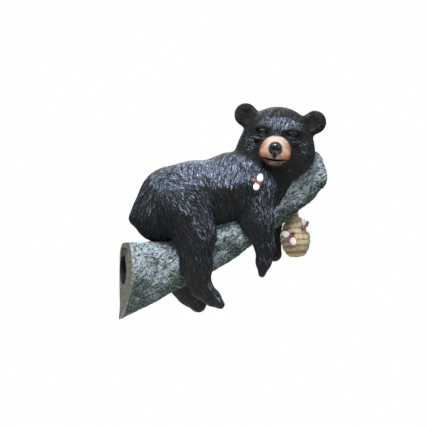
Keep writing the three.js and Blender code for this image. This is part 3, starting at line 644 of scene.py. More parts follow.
def paint_masks(p, normal):
    """Each paint's share from 0 to 1 at points of the bear."""
    q = into_head(p)
    head, muzzle, _ = fur_regions(p)
    both = np.abs(q[:, 0])
    up = q[:, 1]
    body = np.zeros(len(p))
    for a, b, r_a, r_b, strength in BODY_FROST_AND_HIGHLIGHT:
        body = np.maximum(body, strength * capsule(p, a, b, r_a, r_b))
    brow = (q - BROW_FROST_AND_HIGHLIGHT[0]) / BROW_FROST_AND_HIGHLIGHT[1]
    face = 1 - ease(0.35, 1.1, np.linalg.norm(brow, axis=1))
    for middle, reach, strength in FACE_FROST_AND_HIGHLIGHT:
        off = np.hypot((both - middle[0]) / reach[0], (up - middle[1]) / reach[1])
        face = np.maximum(face, strength * (1 - ease(0.3, 1.0, off)))
    face *= ease(5, 25, q[:, 2])
    # The top of the head is paler: painted highlight
    crown = CROWN_FROST_AND_HIGHLIGHT * ease(15, 50, up) * ease(-10, 20, q[:, 2])
    rims = EAR_FROST_AND_HIGHLIGHT * (1 - ease(2, 5, paired_egg(q, EAR))) * ease(-14, -2, q[:, 2])
    frost_and_highlight = body * (1 - head) + np.maximum(np.maximum(face, crown), rims) * head
    # The pale paint is strongest on faces turned up and towards the near side: painted highlight where the
    # light falls
    frost_and_highlight *= ease(-0.55, 0.25, normal[:, 2] - 0.25 * normal[:, 1])
    lids = np.minimum(np.minimum(paired_egg(q, UPPER_LID), paired_egg(q, LOWER_LID)), 3)
    eye = (1 - ease(0.0, 0.9, paired_egg(q, EYE))) * ease(0.0, 0.7, lids)
    tan = muzzle * (1 - ease(11, 16, up - 0.14 * (q[:, 2] - 60)))
    tan *= ease(-1.5, 1.5, up - CHIN_LINE - CHIN_CURVE * q[:, 0] ** 2)
    warm = ease(0.25, 1.0, both / 30 + np.maximum(-up - 6, 0) / 50)
    # A dark patch from under the nose down to the mouth: painted shade under the nose
    shade_under_nose = 1 - ease(0.5, 1.0, np.hypot(q[:, 0] / (7 + 0.25 * (up + 18)), (up + 19) / 12))
    mouth = np.maximum(np.clip(1 - mouth_field(q) / 1.6, 0, 1), 0.9 * shade_under_nose) * muzzle
    lip = 1 - ease(*LIP_LINE, up - MOUTH_CURVE * q[:, 0] ** 2) * muzzle
    return {"frost_and_highlight": frost_and_highlight, "tan": tan, "nose": 1 - ease(0.1, 1.0, egg_field(q, *NOSE_PAINT)),
            "eye": eye, "mouth": mouth, "warm": warm, "lip": lip}


# ------------------------------------------------------------------ rough textures in the solid
def random_at(cell, seed):
    """A steady random number from 0 to 1 for each whole-numbered cell."""
    c = cell.astype(np.int64)
    code = c[..., 0] * 73856093 ^ c[..., 1] * 19349663 ^ c[..., 2] * 83492791 ^ (seed * 2654435761)
    code = (code ^ (code >> 13)) * 1274126177 & 0x7FFFFFFF
    code = (code ^ (code >> 16)) * 668265263 & 0x7FFFFFFF
    return (code & 0xFFFFFF) / float(0x1000000)


def soft_noise(p, seed):
    """Smooth noise from -1 to 1, one swell to each unit of length."""
    cell = np.floor(p)
    t = p - cell
    t = t * t * (3 - 2 * t)
    out = np.zeros(p.shape[:-1])
    for i in (0, 1):
        for j in (0, 1):
            for k in (0, 1):
                share = np.abs(1 - i - t[..., 0]) * np.abs(1 - j - t[..., 1])
                share = share * np.abs(1 - k - t[..., 2])
                out += share * random_at(cell + (i, j, k), seed)
    return 2 * out - 1


# ------------------------------------------------------------------ making pieces
def make_piece(name, points, faces, finishes, notes=None, normals=None, finish_of=None):
    """A mesh object in metres from points in millimetres and arrays of faces."""
    mesh = bpy.data.meshes.new(name)
    mesh.vertices.add(len(points))
    mesh.vertices.foreach_set("co", (np.asarray(points) * MM).astype(np.float32).ravel())
    corners = np.concatenate([f.ravel() for f in faces]).astype(np.int32)
    sizes = np.concatenate([np.full(len(f), f.shape[1]) for f in faces])
    starts = np.concatenate(([0], np.cumsum(sizes)[:-1])).astype(np.int32)
    mesh.loops.add(len(corners))
    mesh.loops.foreach_set("vertex_index", corners)
    mesh.polygons.add(len(sizes))
    mesh.polygons.foreach_set("loop_start", starts)
    if finish_of is not None:
        mesh.polygons.foreach_set("material_index", finish_of.astype(np.int32))
    mesh.update(calc_edges=True)
    mesh.shade_smooth()
    for key, value in (notes or {}).items():
        value = np.asarray(value, dtype=np.float32)
        if value.ndim == 2:
            mesh.attributes.new(key, "FLOAT_VECTOR", "POINT").data.foreach_set("vector", value.ravel())
        else:
            mesh.attributes.new(key, "FLOAT", "POINT").data.foreach_set("value", value)
    if normals is not None:
        mesh.normals_split_custom_set_from_vertices(normals)
    for finish in finishes:
        mesh.materials.append(finish)
    piece = bpy.data.objects.new(name, mesh)
    bpy.context.scene.collection.objects.link(piece)
    return piece


def stand_for(piece, node):
    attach(piece, "root")
    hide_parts(node)


def tube_faces(rows, columns, turned_out=False):
    """Faces of a tube of points that a last point closes at each end: four-sided, three-sided."""
    count = rows * columns
    number = np.arange(count).reshape(rows, columns)
    ahead = np.roll(number, -1, axis=1)
    quads = np.stack((number[:-1], number[1:], ahead[1:], ahead[:-1]), axis=-1).reshape(-1, 4)
    start = np.stack((number[0], ahead[0], np.full(columns, count)), axis=1)
    end = np.stack((ahead[-1], number[-1], np.full(columns, count + 1)), axis=1)
    caps = np.concatenate((start, end))
    if turned_out:
        return quads[:, (0, 3, 2, 1)], caps[:, (1, 0, 2)]
    return quads, caps


def boundary_loops(faces):
    """Loops of points round the open edges, in the order of the faces there."""
    size = faces.shape[1]
    start = np.concatenate([faces[:, n] for n in range(size)]).astype(np.int64)
    end = np.concatenate([faces[:, (n + 1) % size] for n in range(size)]).astype(np.int64)
    big = int(max(start.max(), end.max())) + 1
    there = start * big + end
    back = end * big + start
    open_edge = ~np.isin(there, back)
    onward = dict(zip(start[open_edge].tolist(), end[open_edge].tolist()))
    loops = []
    while onward:
        first = next(iter(onward))
        loop = [first]
        point = onward.pop(first)
        while point != first and point in onward:
            loop.append(point)
            point = onward.pop(point)
        loops.append(loop)
    return loops


def part_skin(points, faces, keep):
    """The kept faces closed with a fan over each cut: (points, quads, triangles, old numbers)."""
    used, quads = np.unique(faces[keep], return_inverse=True)
    quads = quads.reshape(-1, 4)
    own = points[used]
    fans = []
    for loop in boundary_loops(quads):
        if len(loop) < 3:
            continue
        own = np.concatenate((own, own[loop].mean(axis=0)[None]))
        used = np.concatenate((used, used[loop[:1]]))
        ring = np.array(loop)
        middle = np.full(len(ring), len(own) - 1)
        fans.append(np.stack((np.roll(ring, -1), ring, middle), axis=1))
    triangles = np.concatenate(fans) if fans else np.zeros((0, 3), dtype=np.int64)
    return own, quads, triangles, used


# ------------------------------------------------------------------ node helpers
def put(tree, kind, inputs=None, **settings):
    """Adds a node, sets it up, and links or fills its inputs."""
    made = tree.nodes.new(kind)
    for key, value in settings.items():
        setattr(made, key, value)
    for key, value in (inputs or {}).items():
        if isinstance(value, bpy.types.NodeSocket):
            tree.links.new(value, made.inputs[key])
        else:
            made.inputs[key].default_value = value
    return made


def maths(tree, operation, *values):
    made = put(tree, "ShaderNodeMath", dict(enumerate(values)), operation=operation)
    return made.outputs[0]


def plus(tree, a, b):
    return maths(tree, "ADD", a, b)


def minus(tree, a, b):
    return maths(tree, "SUBTRACT", a, b)


def times(tree, a, b):
    return maths(tree, "MULTIPLY", a, b)


def mixed(tree, share, a, b, kind="RGBA"):
    """A mix of two colours or numbers."""
    made = put(tree, "ShaderNodeMix", data_type=kind)
    low, high, out = {"RGBA": (6, 7, 2), "FLOAT": (2, 3, 0)}[kind]
    for socket, value in ((0, share), (low, a), (high, b)):
        if isinstance(value, bpy.types.NodeSocket):
            tree.links.new(value, made.inputs[socket])
        else:
            made.inputs[socket].default_value = value
    return made.outputs[out]


def ranged(tree, value, low, high, to_low=0.0, to_high=1.0):
    made = put(tree, "ShaderNodeMapRange", {0: value, 1: low, 2: high, 3: to_low, 4: to_high},
               interpolation_type="SMOOTHSTEP")
    return made.outputs[0]


def noted(tree, name, kind="Fac"):
    """One of the piece's own attributes."""
    return put(tree, "ShaderNodeAttribute", attribute_name=name).outputs[kind]


def place(tree):
    return put(tree, "ShaderNodeTexCoord").outputs["Object"]


def noise(tree, scale, detail, where=None, **more):
    """Soft noise from 0 to 1, laid over the piece's own place unless told where."""
    where = place(tree) if where is None else where
    given = {"Vector": where, "Scale": scale, "Detail": detail, **more}
    return put(tree, "ShaderNodeTexNoise", given).outputs[0]


def paint(name):
    """A paint from the table as the shader wants it."""
    def linear(v):
        v /= 255
        return v / 12.92 if v <= 0.04045 else ((v + 0.055) / 1.055) ** 2.4
    return (*(linear(v) for v in PAINT[name]), 1.0)


def new_group(name, inputs, outputs):
    group = bpy.data.node_groups.new(name, "ShaderNodeTree")
    for label, kind, value in inputs:
        socket = group.interface.new_socket(label, in_out="INPUT", socket_type="NodeSocket" + kind)
        socket.default_value = value
    for label, kind in outputs:
        group.interface.new_socket(label, in_out="OUTPUT", socket_type="NodeSocket" + kind)
    return group, group.nodes.new("NodeGroupInput").outputs, group.nodes.new("NodeGroupOutput").inputs


def dry_brushing():
    """A paler paint dragged over the high places only, broken up where the brush ran dry."""
    group, given, result = new_group("dry brushing", (
        ("Under", "Color", (0, 0, 0, 1)), ("Over", "Color", (1, 1, 1, 1)),
        ("Relief", "Float", 0.5), ("Amount", "Float", 0.5), ("Highest", "Float", 1.0),
        ("Spread", "Float", 0.5), ("Softness", "Float", 0.25), ("Breakup Scale", "Float", 300.0),
        ("Breakup", "Float", 0.55)),
        (("Colour", "Color"), ("Mask", "Float")))
    patchy = noise(group, given["Breakup Scale"], 3.0, Roughness=0.6)
    uneven = times(group, minus(group, patchy, 0.5), given["Breakup"])
    relief = plus(group, given["Relief"], uneven)
    edge = minus(group, given["Highest"], times(group, given["Amount"], given["Spread"]))
    mask = ranged(group, relief, edge, plus(group, edge, given["Softness"]))
    dying = maths(group, "MINIMUM", times(group, given["Amount"], 1.8), 1.0)
    mask = times(group, mask, dying)
    group.links.new(mask, result["Mask"])
    group.links.new(mixed(group, mask, given["Under"], given["Over"]), result["Colour"])
    return group


def casting_grain():
    """The faint pits and grain of cast resin under paint."""
    group, given, result = new_group("casting grain", (
        ("Scale", "Float", 900.0), ("Strength", "Float", 0.3)), (("Height", "Float"),))
    fine = noise(group, given["Scale"], 4.0, Roughness=0.65)
    group.links.new(times(group, fine, given["Strength"]), result["Height"])
    return group


def dark_wash_and_shade():
    """Thin dark paint left lying in the low places, with painted shade there."""
    group, given, result = new_group("dark wash and shade", (
        ("Colour", "Color", (1, 1, 1, 1)), ("Wash And Shade", "Color", (0, 0, 0, 1)),
        ("Relief", "Float", 0.5), ("Amount", "Float", 0.5)), (("Colour", "Color"),))
    low = times(group, ranged(group, given["Relief"], 0.45, 0.0), given["Amount"])
    group.links.new(mixed(group, low, given["Colour"], given["Wash And Shade"]), result["Colour"])
    return group


def crumpled_creases():
    """Thin winding lines, as in crumpled bark: 1 along each line and 0 between."""
    group, given, result = new_group("crumpled creases", (
        ("Scale", "Float", 120.0), ("Width", "Float", 0.05), ("Stir", "Float", 1.0)),
        (("Crease", "Float"),))
    lengthwise = put(group, "ShaderNodeMapping", {
        "Vector": place(group), "Rotation": (0, BRANCH_SLOPE, 0), "Scale": (CREASE_STRETCH, 1, 1)},
        vector_type="TEXTURE").outputs[0]
    swell = noise(group, given["Scale"], 2.0, lengthwise, Roughness=0.55, Distortion=given["Stir"])
    off = maths(group, "ABSOLUTE", minus(group, swell, 0.5))
    group.links.new(ranged(group, off, given["Width"], 0.0), result["Crease"])
    return group


GROUPS = {"dry brushing": dry_brushing(), "casting grain": casting_grain(),
          "dark wash and shade": dark_wash_and_shade(), "crumpled creases": crumpled_creases()}


def grouped(tree, name, inputs):
    made = tree.nodes.new("ShaderNodeGroup")
    made.node_tree = GROUPS[name]
    for key, value in inputs.items():
        if isinstance(value, bpy.types.NodeSocket):
            tree.links.new(value, made.inputs[key])
        else:
            made.inputs[key].default_value = value
    return made.outputs


def new_finish(name, **constants):
    """A material, its node tree and its shader, with the shader's fixed values set."""
    finish = bpy.data.materials.new(name)
    finish.use_nodes = True
    shader = finish.node_tree.nodes["Principled BSDF"]
    for key, value in constants.items():
        shader.inputs[key.replace("_", " ")].default_value = value
    return finish, finish.node_tree, shader


def brushed(tree, under, over, relief, amount, highest, spread, softness, scale, breakup=0.55):
    return grouped(tree, "dry brushing", {
        "Under": under, "Over": over, "Relief": relief, "Amount": amount, "Highest": highest,
        "Spread": spread, "Softness": softness, "Breakup Scale": scale, "Breakup": breakup})["Colour"]


def washed_and_shaded(tree, colour, wash, relief, amount):
    return grouped(tree, "dark wash and shade", {
        "Colour": colour, "Wash And Shade": wash, "Relief": relief, "Amount": amount})["Colour"]


def creased(tree, scale, width, stir):
    return grouped(tree, "crumpled creases", {"Scale": scale, "Width": width, "Stir": stir})["Crease"]


def grained(tree, scale, strength):
    return grouped(tree, "casting grain", {"Scale": scale, "Strength": strength})["Height"]


def bumped(tree, shader, height, distance):
    bump = put(tree, "ShaderNodeBump", {"Height": height, "Distance": distance, "Strength": 1.0})
    tree.links.new(bump.outputs[0], shader.inputs["Normal"])


# ------------------------------------------------------------------ finishes
def painted_fur():
    finish, tree, shader = new_finish("painted_fur", Specular_IOR_Level=0.3, Coat_Roughness=0.12)
    crest, frost_and_highlight, warm = (noted(tree, name) for name in ("crest", "frost_and_highlight", "warm"))
    nose, eye = noted(tree, "nose"), noted(tree, "eye")
    along_hair = put(tree, "ShaderNodeVectorMath", {0: noted(tree, "lock", "Vector"), 1: HAIR_PITCH},
                     operation="MULTIPLY").outputs[0]
    hair = ranged(tree, noise(tree, 1.0, 1.0, along_hair), 0.3, 0.7)
    strand = plus(tree, times(tree, crest, 0.6), times(tree, hair, 0.4))
    patch = noise(tree, 28.0, 3.0)
    coat = mixed(tree, ranged(tree, patch, 0.35, 0.65), paint("cold black"), paint("warm black"))
    coat = brushed(tree, coat, paint("grey fur"), strand, 0.5, 0.85, 0.4, 0.35, 420.0, 0.3)
    # Pale blue-grey brushed over the fur, with painted highlight on its upper and near faces
    coat = brushed(tree, coat, paint("blue-grey fur and highlight"), strand, frost_and_highlight, 0.98, 0.42, 0.28, 330.0, 0.4)
    blush = noise(tree, 110.0, 2.0)
    blush = plus(tree, warm, times(tree, minus(tree, blush, 0.5), 0.8))
    skin = mixed(tree, ranged(tree, blush, 0.0, 1.0), paint("cream muzzle"), paint("orange muzzle"))
    skin = mixed(tree, noted(tree, "lip"), skin, paint("lower lip"))
    coat = mixed(tree, noted(tree, "tan"), coat, skin)
    # The mouth's dark paint, which also lays painted shade under the nose
    coat = mixed(tree, noted(tree, "mouth"), coat, paint("mouth"))
    coat = mixed(tree, nose, coat, paint("nose"))
    coat = mixed(tree, eye, coat, paint("eye"))
    tree.links.new(coat, shader.inputs["Base Color"])
    glossy = maths(tree, "MAXIMUM", nose, eye)
    tree.links.new(ranged(tree, glossy, 0.0, 1.0, 0.46, 0.2), shader.inputs["Roughness"])
    tree.links.new(glossy, shader.inputs["Coat Weight"])
    hairs = times(tree, hair, times(tree, crest, 0.7))
    bumped(tree, shader, plus(tree, hairs, grained(tree, 1100.0, 0.35)), 1.3 * MM)
    return finish


def painted_bark():
    finish, tree, shader = new_finish("painted_bark", Roughness=0.6, Specular_IOR_Level=0.3)
    relief, moss_and_shade, sawn, recess_shade = (noted(tree, n) for n in ("relief", "moss_and_shade", "sawn", "recess_shade"))
    creases = creased(tree, 118.0, 0.036, 1.6)
    ridges = creased(tree, 190.0, 0.05, 1.4)
    raised = plus(tree, times(tree, relief, 0.5), times(tree, ridges, 0.34))
    raised = minus(tree, raised, times(tree, creases, 0.34))
    patch = ranged(tree, noise(tree, 22.0, 4.0), 0.35, 0.65)
    bark = mixed(tree, patch, paint("blue bark"), paint("grey bark"))
    # Under the branch the bark is darker and greener and takes less pale brushing: moss paint with painted
    # shade below, painted highlight on top
    bark = mixed(tree, moss_and_shade, bark, paint("shaded mossy bark"))
    pale = mixed(tree, moss_and_shade, paint("brushed bark"), paint("brushed moss"))
    amount = ranged(tree, moss_and_shade, 0.0, 1.0, 0.9, 0.4)
    bark = brushed(tree, bark, pale, raised, amount, 0.85, 0.8, 0.3, 260.0)
    ridge_share = times(tree, ridges, ranged(tree, moss_and_shade, 0.0, 1.0, 0.3, 0.8))
    bark = mixed(tree, ridge_share, bark, mixed(tree, moss_and_shade, paint("bark ridge"), paint("moss ridge")))
    bark = mixed(tree, times(tree, creases, 0.92), bark, paint("crease"))
    # Darker in the bark's low places: dark wash with painted shade
    bark = washed_and_shaded(tree, bark, paint("bark wash and shade"), relief, 0.45)
    streak = ranged(tree, noise(tree, 180.0, 3.0), 0.35, 0.7)
    face = mixed(tree, streak, paint("dull saw cut"), paint("pale saw cut"))
    bark = mixed(tree, sawn, bark, face)
    # The recess is painted near black: painted shade inside it
    bark = mixed(tree, recess_shade, bark, paint("recess"))
    tree.links.new(bark, shader.inputs["Base Color"])
    worked = times(tree, minus(tree, 1.0, sawn), raised)
    bumped(tree, shader, plus(tree, grained(tree, 700.0, 0.5), worked), 1.6 * MM)
    return finish


def coiled_straw():
    finish, tree, shader = new_finish("coiled_straw", Roughness=0.55, Specular_IOR_Level=0.3)
    groove = noted(tree, "coil")
    straws = ranged(tree, noise(tree, 240.0, 4.0), 0.35, 0.65)
    straw = mixed(tree, straws, paint("dull straw"), paint("bright straw"))
    height = put(tree, "ShaderNodeSeparateXYZ", {0: place(tree)}).outputs[2]
    # Darker and more olive towards the bottom: painted shade on the hive's lower part
    straw = mixed(tree, ranged(tree, height, 0.1, 0.06), straw, paint("shaded low straw"))
    # Darker in the grooves between the coils: dark wash with painted shade
    straw = washed_and_shaded(tree, straw, paint("groove wash and shade"), groove, 1.0)
    straw = brushed(tree, straw, paint("brushed straw"), groove, 0.5, 1.1, 0.5, 0.4, 200.0)
    tree.links.new(straw, shader.inputs["Base Color"])
    bumped(tree, shader, grained(tree, 500.0, 0.6), 0.8 * MM)
    return finish


def bee_paint():
    finish, tree, shader = new_finish("bee_paint", Roughness=0.45, Specular_IOR_Level=0.4)
    band, relief = noted(tree, "band"), noted(tree, "relief")
    coat = mixed(tree, ranged(tree, band, 0.4, 0.6), paint("bee brown"), paint("bee red"))
    coat = brushed(tree, coat, paint("brushed bee"), relief, 0.75, 0.9, 0.5, 0.4, 900.0)
    tree.links.new(coat, shader.inputs["Base Color"])
    bumped(tree, shader, grained(tree, 2500.0, 0.6), 0.3 * MM)
    return finish


def wing_paint():
    finish, tree, shader = new_finish("wing_paint", Roughness=0.4, Specular_IOR_Level=0.4)
    coat = washed_and_shaded(tree, paint("wing"), paint("wing wash"), noted(tree, "relief"), 0.8)
    tree.links.new(coat, shader.inputs["Base Color"])
    bumped(tree, shader, grained(tree, 1500.0, 0.4), 0.3 * MM)
    return finish


def strap_metal():
    finish, tree, shader = new_finish("strap_metal", Metallic=0.85)
    dull = noise(tree, 160.0, 5.0)
    colour = mixed(tree, ranged(tree, dull, 0.35, 0.7), paint("dull metal"), paint("worn metal"))
    tree.links.new(colour, shader.inputs["Base Color"])
    tree.links.new(ranged(tree, dull, 0.3, 0.7, 0.35, 0.6), shader.inputs["Roughness"])
    bumped(tree, shader, grained(tree, 1400.0, 0.3), 0.3 * MM)
    return finish


# ------------------------------------------------------------------ the bear
def make_bear(finish):
    lines = (graded(GRID_LOW[0], GRID_HIGH[0], HEAD_FROM[0], BODY_STEP, HEAD_STEP),
             np.arange(GRID_LOW[1], GRID_HIGH[1], DEPTH_STEP).astype(np.float32),
             graded(GRID_LOW[2], GRID_HIGH[2], HEAD_FROM[1], BODY_STEP, HEAD_STEP))
    points, faces = draw_skin(bear_field, lines)
    points = settle(bear_field, 0.5 * points + 0.5 * neighbour_mean(points, faces))
    normal = unit(slope(bear_field, points)).astype(np.float32)
    notes = paint_masks(points, normal)
    height, notes["crest"], notes["lock"] = comb_fur(points, normal)
    bare = np.maximum(np.maximum(notes["nose"], notes["eye"]), notes["mouth"])
    points = points + normal * (height * (1 - bare) - FUR_SUNK)[:, None]
    shading = point_normals(points, faces)
    middle = points[faces].mean(axis=1)
    in_head = (middle - NECK[0]) @ np.array(NECK[1]) > 0
    in_head &= middle[:, 2] > NECK[0][2] - NECK_DROP
    behind = middle[:, 0] < WAIST
    parts = {"bear_head": in_head, "bear_forequarters": ~in_head & ~behind,
             "bear_hindquarters": ~in_head & behind}
    for name, keep in parts.items():
        own, quads, fans, used = part_skin(points, faces, keep)
        piece = make_piece(name, own, (quads, fans), (finish,),
                           {key: value[used] for key, value in notes.items()}, shading[used])
        stand_for(piece, "bear_and_branch")


# ------------------------------------------------------------------ the branch
def stations(x):
    """The branch's sizes at distances x along it, on smooth curves through its stations."""
    table = BRANCH
    n = np.clip(np.searchsorted(table[:, 0], x, side="left") - 1, 0, len(table) - 2)
    before, a = table[np.maximum(n - 1, 0)], table[n]
    b, after = table[n + 1], table[np.minimum(n + 2, len(table) - 1)]
    span = b[:, :1] - a[:, :1]
    t = (x[:, None] - a[:, :1]) / span
    slope_a = (b - before) / (b[:, :1] - before[:, :1]) * span
    slope_b = (after - a) / (after[:, :1] - a[:, :1]) * span
    t2, t3 = t * t, t * t * t
    return ((2 * t3 - 3 * t2 + 1) * a + (t3 - 2 * t2 + t) * slope_a
            + (3 * t2 - 2 * t3) * b + (t3 - t2) * slope_b)


def branch_rings(x, size, slide, angle):
    """Points round the branch for each x, shrunk by size and slid along it: (rings, columns, 3)."""
    s = stations(x)
    behind = np.maximum(x - 1, 0)
    rise = (stations(x + 1)[:, 1] - stations(behind)[:, 1]) / (x + 1 - behind)
    last = BRANCH[-1, 0]
    broken = ease(last - END_LEAN_IN, last, x)
    follow = np.arctan(rise) * np.minimum(x / UPRIGHT_RINGS, 1)
    tilt = (follow + (math.radians(END_TILT) - follow) * broken)[:, None]
    flare = (1 - ease(0, FLARE, x))[:, None]
    x = x[:, None]
    upper = np.sin(angle) > 0
    near_side = np.cos(angle) < 0
    near_power = np.where(upper, WALL_POWER["near"][1], WALL_POWER["near"][0])
    far_power = np.where(upper, WALL_POWER["far"][1], WALL_POWER["far"][0])
    wall_power = np.where(near_side, near_power, far_power)
    power = SECTION_POWER + (wall_power - SECTION_POWER) * flare

    def rounded(v):
        return np.sign(v) * np.abs(v) ** (2 / power)

    size = size[:, None]
    fade = np.minimum(x / LUMP_FADE, 1) * size
    swell = sum(share * np.sin(turns * angle + pace * x + start) for turns, pace, start, share in SWELLS)
    lump = BARK_LUMP * fade * swell
    z, high, near, far, lean, mid = (s[:, n:n + 1] for n in range(1, 7))
    up = (high * size + lump) * rounded(np.sin(angle))
    far_half = np.maximum(far + lean * up, THIN_FAR)
    wide = np.where(near_side, near, far_half) * size + lump
    y = mid - lean * up + wide * rounded(np.cos(angle))
    slide = slide[:, None]
    return np.stack((x - up * np.sin(tilt) + slide * np.cos(tilt), y,
                     z + up * np.cos(tilt) + slide * np.sin(tilt)), axis=-1)


def wall_end(outline):
    """Rows over the wall end, from the middle of the recess floor out to the edge."""
    y0, z0 = RECESS["y"], RECESS["z"]
    draft, depth = RECESS["draft"], RECESS["depth"]
    angle = np.arctan2((outline[:, 2] - z0) / RECESS["half_height"],
                       (outline[:, 1] - y0) / RECESS["half_width"])

    def oval(size, x):
        return np.stack((np.full(len(angle), x), y0 + size * RECESS["half_width"] * np.cos(angle),
                         z0 + size * RECESS["half_height"] * np.sin(angle)), axis=-1)

    rows = [oval(draft * s, depth) for s in FLOOR_ROWS]
    rows += [oval(draft + (1 - draft) * s, depth * (1 - s)) for s in np.linspace(0, 1, SIDE_ROWS)]
    lip = oval(1.0, 0.0)
    rows.append(oval(1.02, 0.0))
    rows += [lip + (outline - lip) * s for s in np.linspace(0.04, 0.975, FACE_ROWS)]
    return np.stack(rows)


def grid_normals(grid):
    around = np.roll(grid, -1, axis=1) - np.roll(grid, 1, axis=1)
    along = np.gradient(grid, axis=0)
    return unit(np.cross(around, along))


def bark_relief(p, x):
    """Bark height in millimetres, with its share from 0 in the creases to 1 on the crests."""
    side = np.array((0.0, 1.0, 0.0))
    local = np.stack((p @ BARK_AXIS, p @ side, p @ np.cross(BARK_AXIS, side)), axis=-1)
    bent = local
    for size, seed, reach in BARK_STIR:
        bent = bent + reach * np.stack([soft_noise(local / size, seed + n) for n in range(3)], axis=-1)
    pebbly = ease(*PEBBLY, x)
    share = 0.10 * soft_noise(local / 9, 23)
    for size, seed, full, by_wall, by_tip in BARK_FOLDS:
        fold = ease(0.0, full, np.abs(soft_noise(bent / size, seed)))
        share = share + (by_wall + (by_tip - by_wall) * pebbly) * fold
    return BARK_HEIGHT * share - BARK_SUNK, np.clip(share * 1.08, 0, 1)


def branch_grid(angle):
    """The branch's rows of points, how far along each row is, and how many rows the wall end has."""
    last = BRANCH[-1, 0]
    along = np.concatenate(([0.0, 0.35, 0.9], np.linspace(1.8, last, int(last / BARK_STEP))))
    inset = np.concatenate(([0.985, 0.995, 1.0], np.ones(len(along) - 3)))
    bark = branch_rings(along, inset, np.zeros(len(along)), angle)
    turn_in = np.linspace(0.12, 1, EDGE_ROWS)
    size = 1 - (1 - END_FACE) * (1 - np.sqrt(1 - (turn_in * END_ROUND) ** 2))
    edge = branch_rings(np.full(EDGE_ROWS, last), size, END_ROUNDING * turn_in, angle)
    shrink = np.linspace(0.94, 0.03, TIP_ROWS)
    dip = END_ROUNDING - END_HOLLOW * (1 - shrink)
    tip = branch_rings(np.full(TIP_ROWS, last), END_FACE * shrink, dip, angle)
    face = wall_end(bark[0])
    x = np.concatenate((np.zeros(len(face)), along, np.full(EDGE_ROWS + TIP_ROWS, last)))
    return np.concatenate((face, bark, edge, tip)), x, len(face)


def strap_seat(grid, wall_rows):
    """Which points lie under the strap, on the wall face round the recess."""
    half_y = STRAP["length"] / 2 + STRAP["gap"] + SEAT_MARGIN
    half_z = STRAP["height"] / 2 + STRAP["gap"] + SEAT_MARGIN
    seat = np.zeros(grid.shape[:2], dtype=bool)
    seat[RECESS_ROWS:wall_rows] = True
    seat &= np.abs(grid[..., 1] - STRAP["y"]) < half_y
    return seat & (np.abs(grid[..., 2] - STRAP["z"]) < half_z)


def make_branch(finish):
    columns = BRANCH_COLUMNS
    angle = np.linspace(0, 2 * np.pi, columns, endpoint=False)
    grid, x, wall_rows = branch_grid(angle)
    normal = grid_normals(grid)
    height, relief = bark_relief(grid, np.broadcast_to(x[:, None], grid.shape[:2]))
    on_bark = ease(0.0, 4.0, x)[:, None]
    grain = soft_noise(grid / 1.8, 71) * 0.22 + soft_noise(grid / (5, 3, 12), 72) * 0.3
    lift = height * on_bark + grain * (1 - on_bark)
    lift[:wall_rows] = np.minimum(lift[:wall_rows], 0.25) - 0.25
    seat = strap_seat(grid, wall_rows)
    grid = grid + normal * lift[..., None]
    grid[:wall_rows, :, 0] = np.maximum(grid[:wall_rows, :, 0], 0.0)
    grid[..., 0] = np.where(seat, STRAP["inset"] + STRAP["thickness"] + STRAP["gap"], grid[..., 0])
    # Faces turned down get darker, greener bark: moss paint with painted shade on the underside
    low = -normal[..., 2] * 0.62 + 0.34 * soft_noise(grid / 26, 81) + 0.2 * soft_noise(grid / 9, 82)
    moss_and_shade = ease(-0.15, 0.55, low) * on_bark
    sawn = np.repeat(1 - on_bark, columns, axis=1)
    # The recess floor and walls take painted shade, and its lip part of it
    recess_shade = np.zeros_like(sawn)
    recess_shade[:RECESS_ROWS] = 1
    recess_shade[RECESS_ROWS] = 0.4
    hubs = np.stack((grid[0].mean(axis=0), grid[-1].mean(axis=0)))
    points = np.concatenate((grid.reshape(-1, 3), hubs))
    notes = {"relief": relief, "moss_and_shade": moss_and_shade, "sawn": sawn, "recess_shade": recess_shade}
    at_hubs = {"relief": (0.5, 0.5), "moss_and_shade": (0, 0), "sawn": (1, 0), "recess_shade": (1, 0)}
    notes = {key: np.concatenate((value.ravel(), at_hubs[key])) for key, value in notes.items()}
    faces = tube_faces(len(grid), columns, turned_out=True)
    stand_for(make_piece("branch", points, faces, (finish,), notes), "bear_and_branch")


# ------------------------------------------------------------------ the hive
HIVE_TREE_INPUTS = (
    ("Height", "NodeSocketFloat", (HIVE["high"] - HIVE["low"]) * MM),
    ("Across", "NodeSocketFloat", HIVE["across"] * MM),
    ("Coils", "NodeSocketFloat", float(HIVE["coils"])),
    ("Coil Depth", "NodeSocketFloat", HIVE["depth"] * MM),
    ("Widest", "NodeSocketFloat", HIVE_WIDEST),
    ("Coiled Share", "NodeSocketFloat", COILED),
    ("Stem Radius", "NodeSocketFloat", HIVE["stem_radius"] * MM),
    ("Stem Length", "NodeSocketFloat", HIVE["stem_length"] * MM),
    ("Lean", "NodeSocketFloat", math.radians(-HIVE["lean"])),
    ("Place", "NodeSocketVector", (HIVE["x"] * MM, HIVE["y"] * MM, HIVE["low"] * MM)),
)


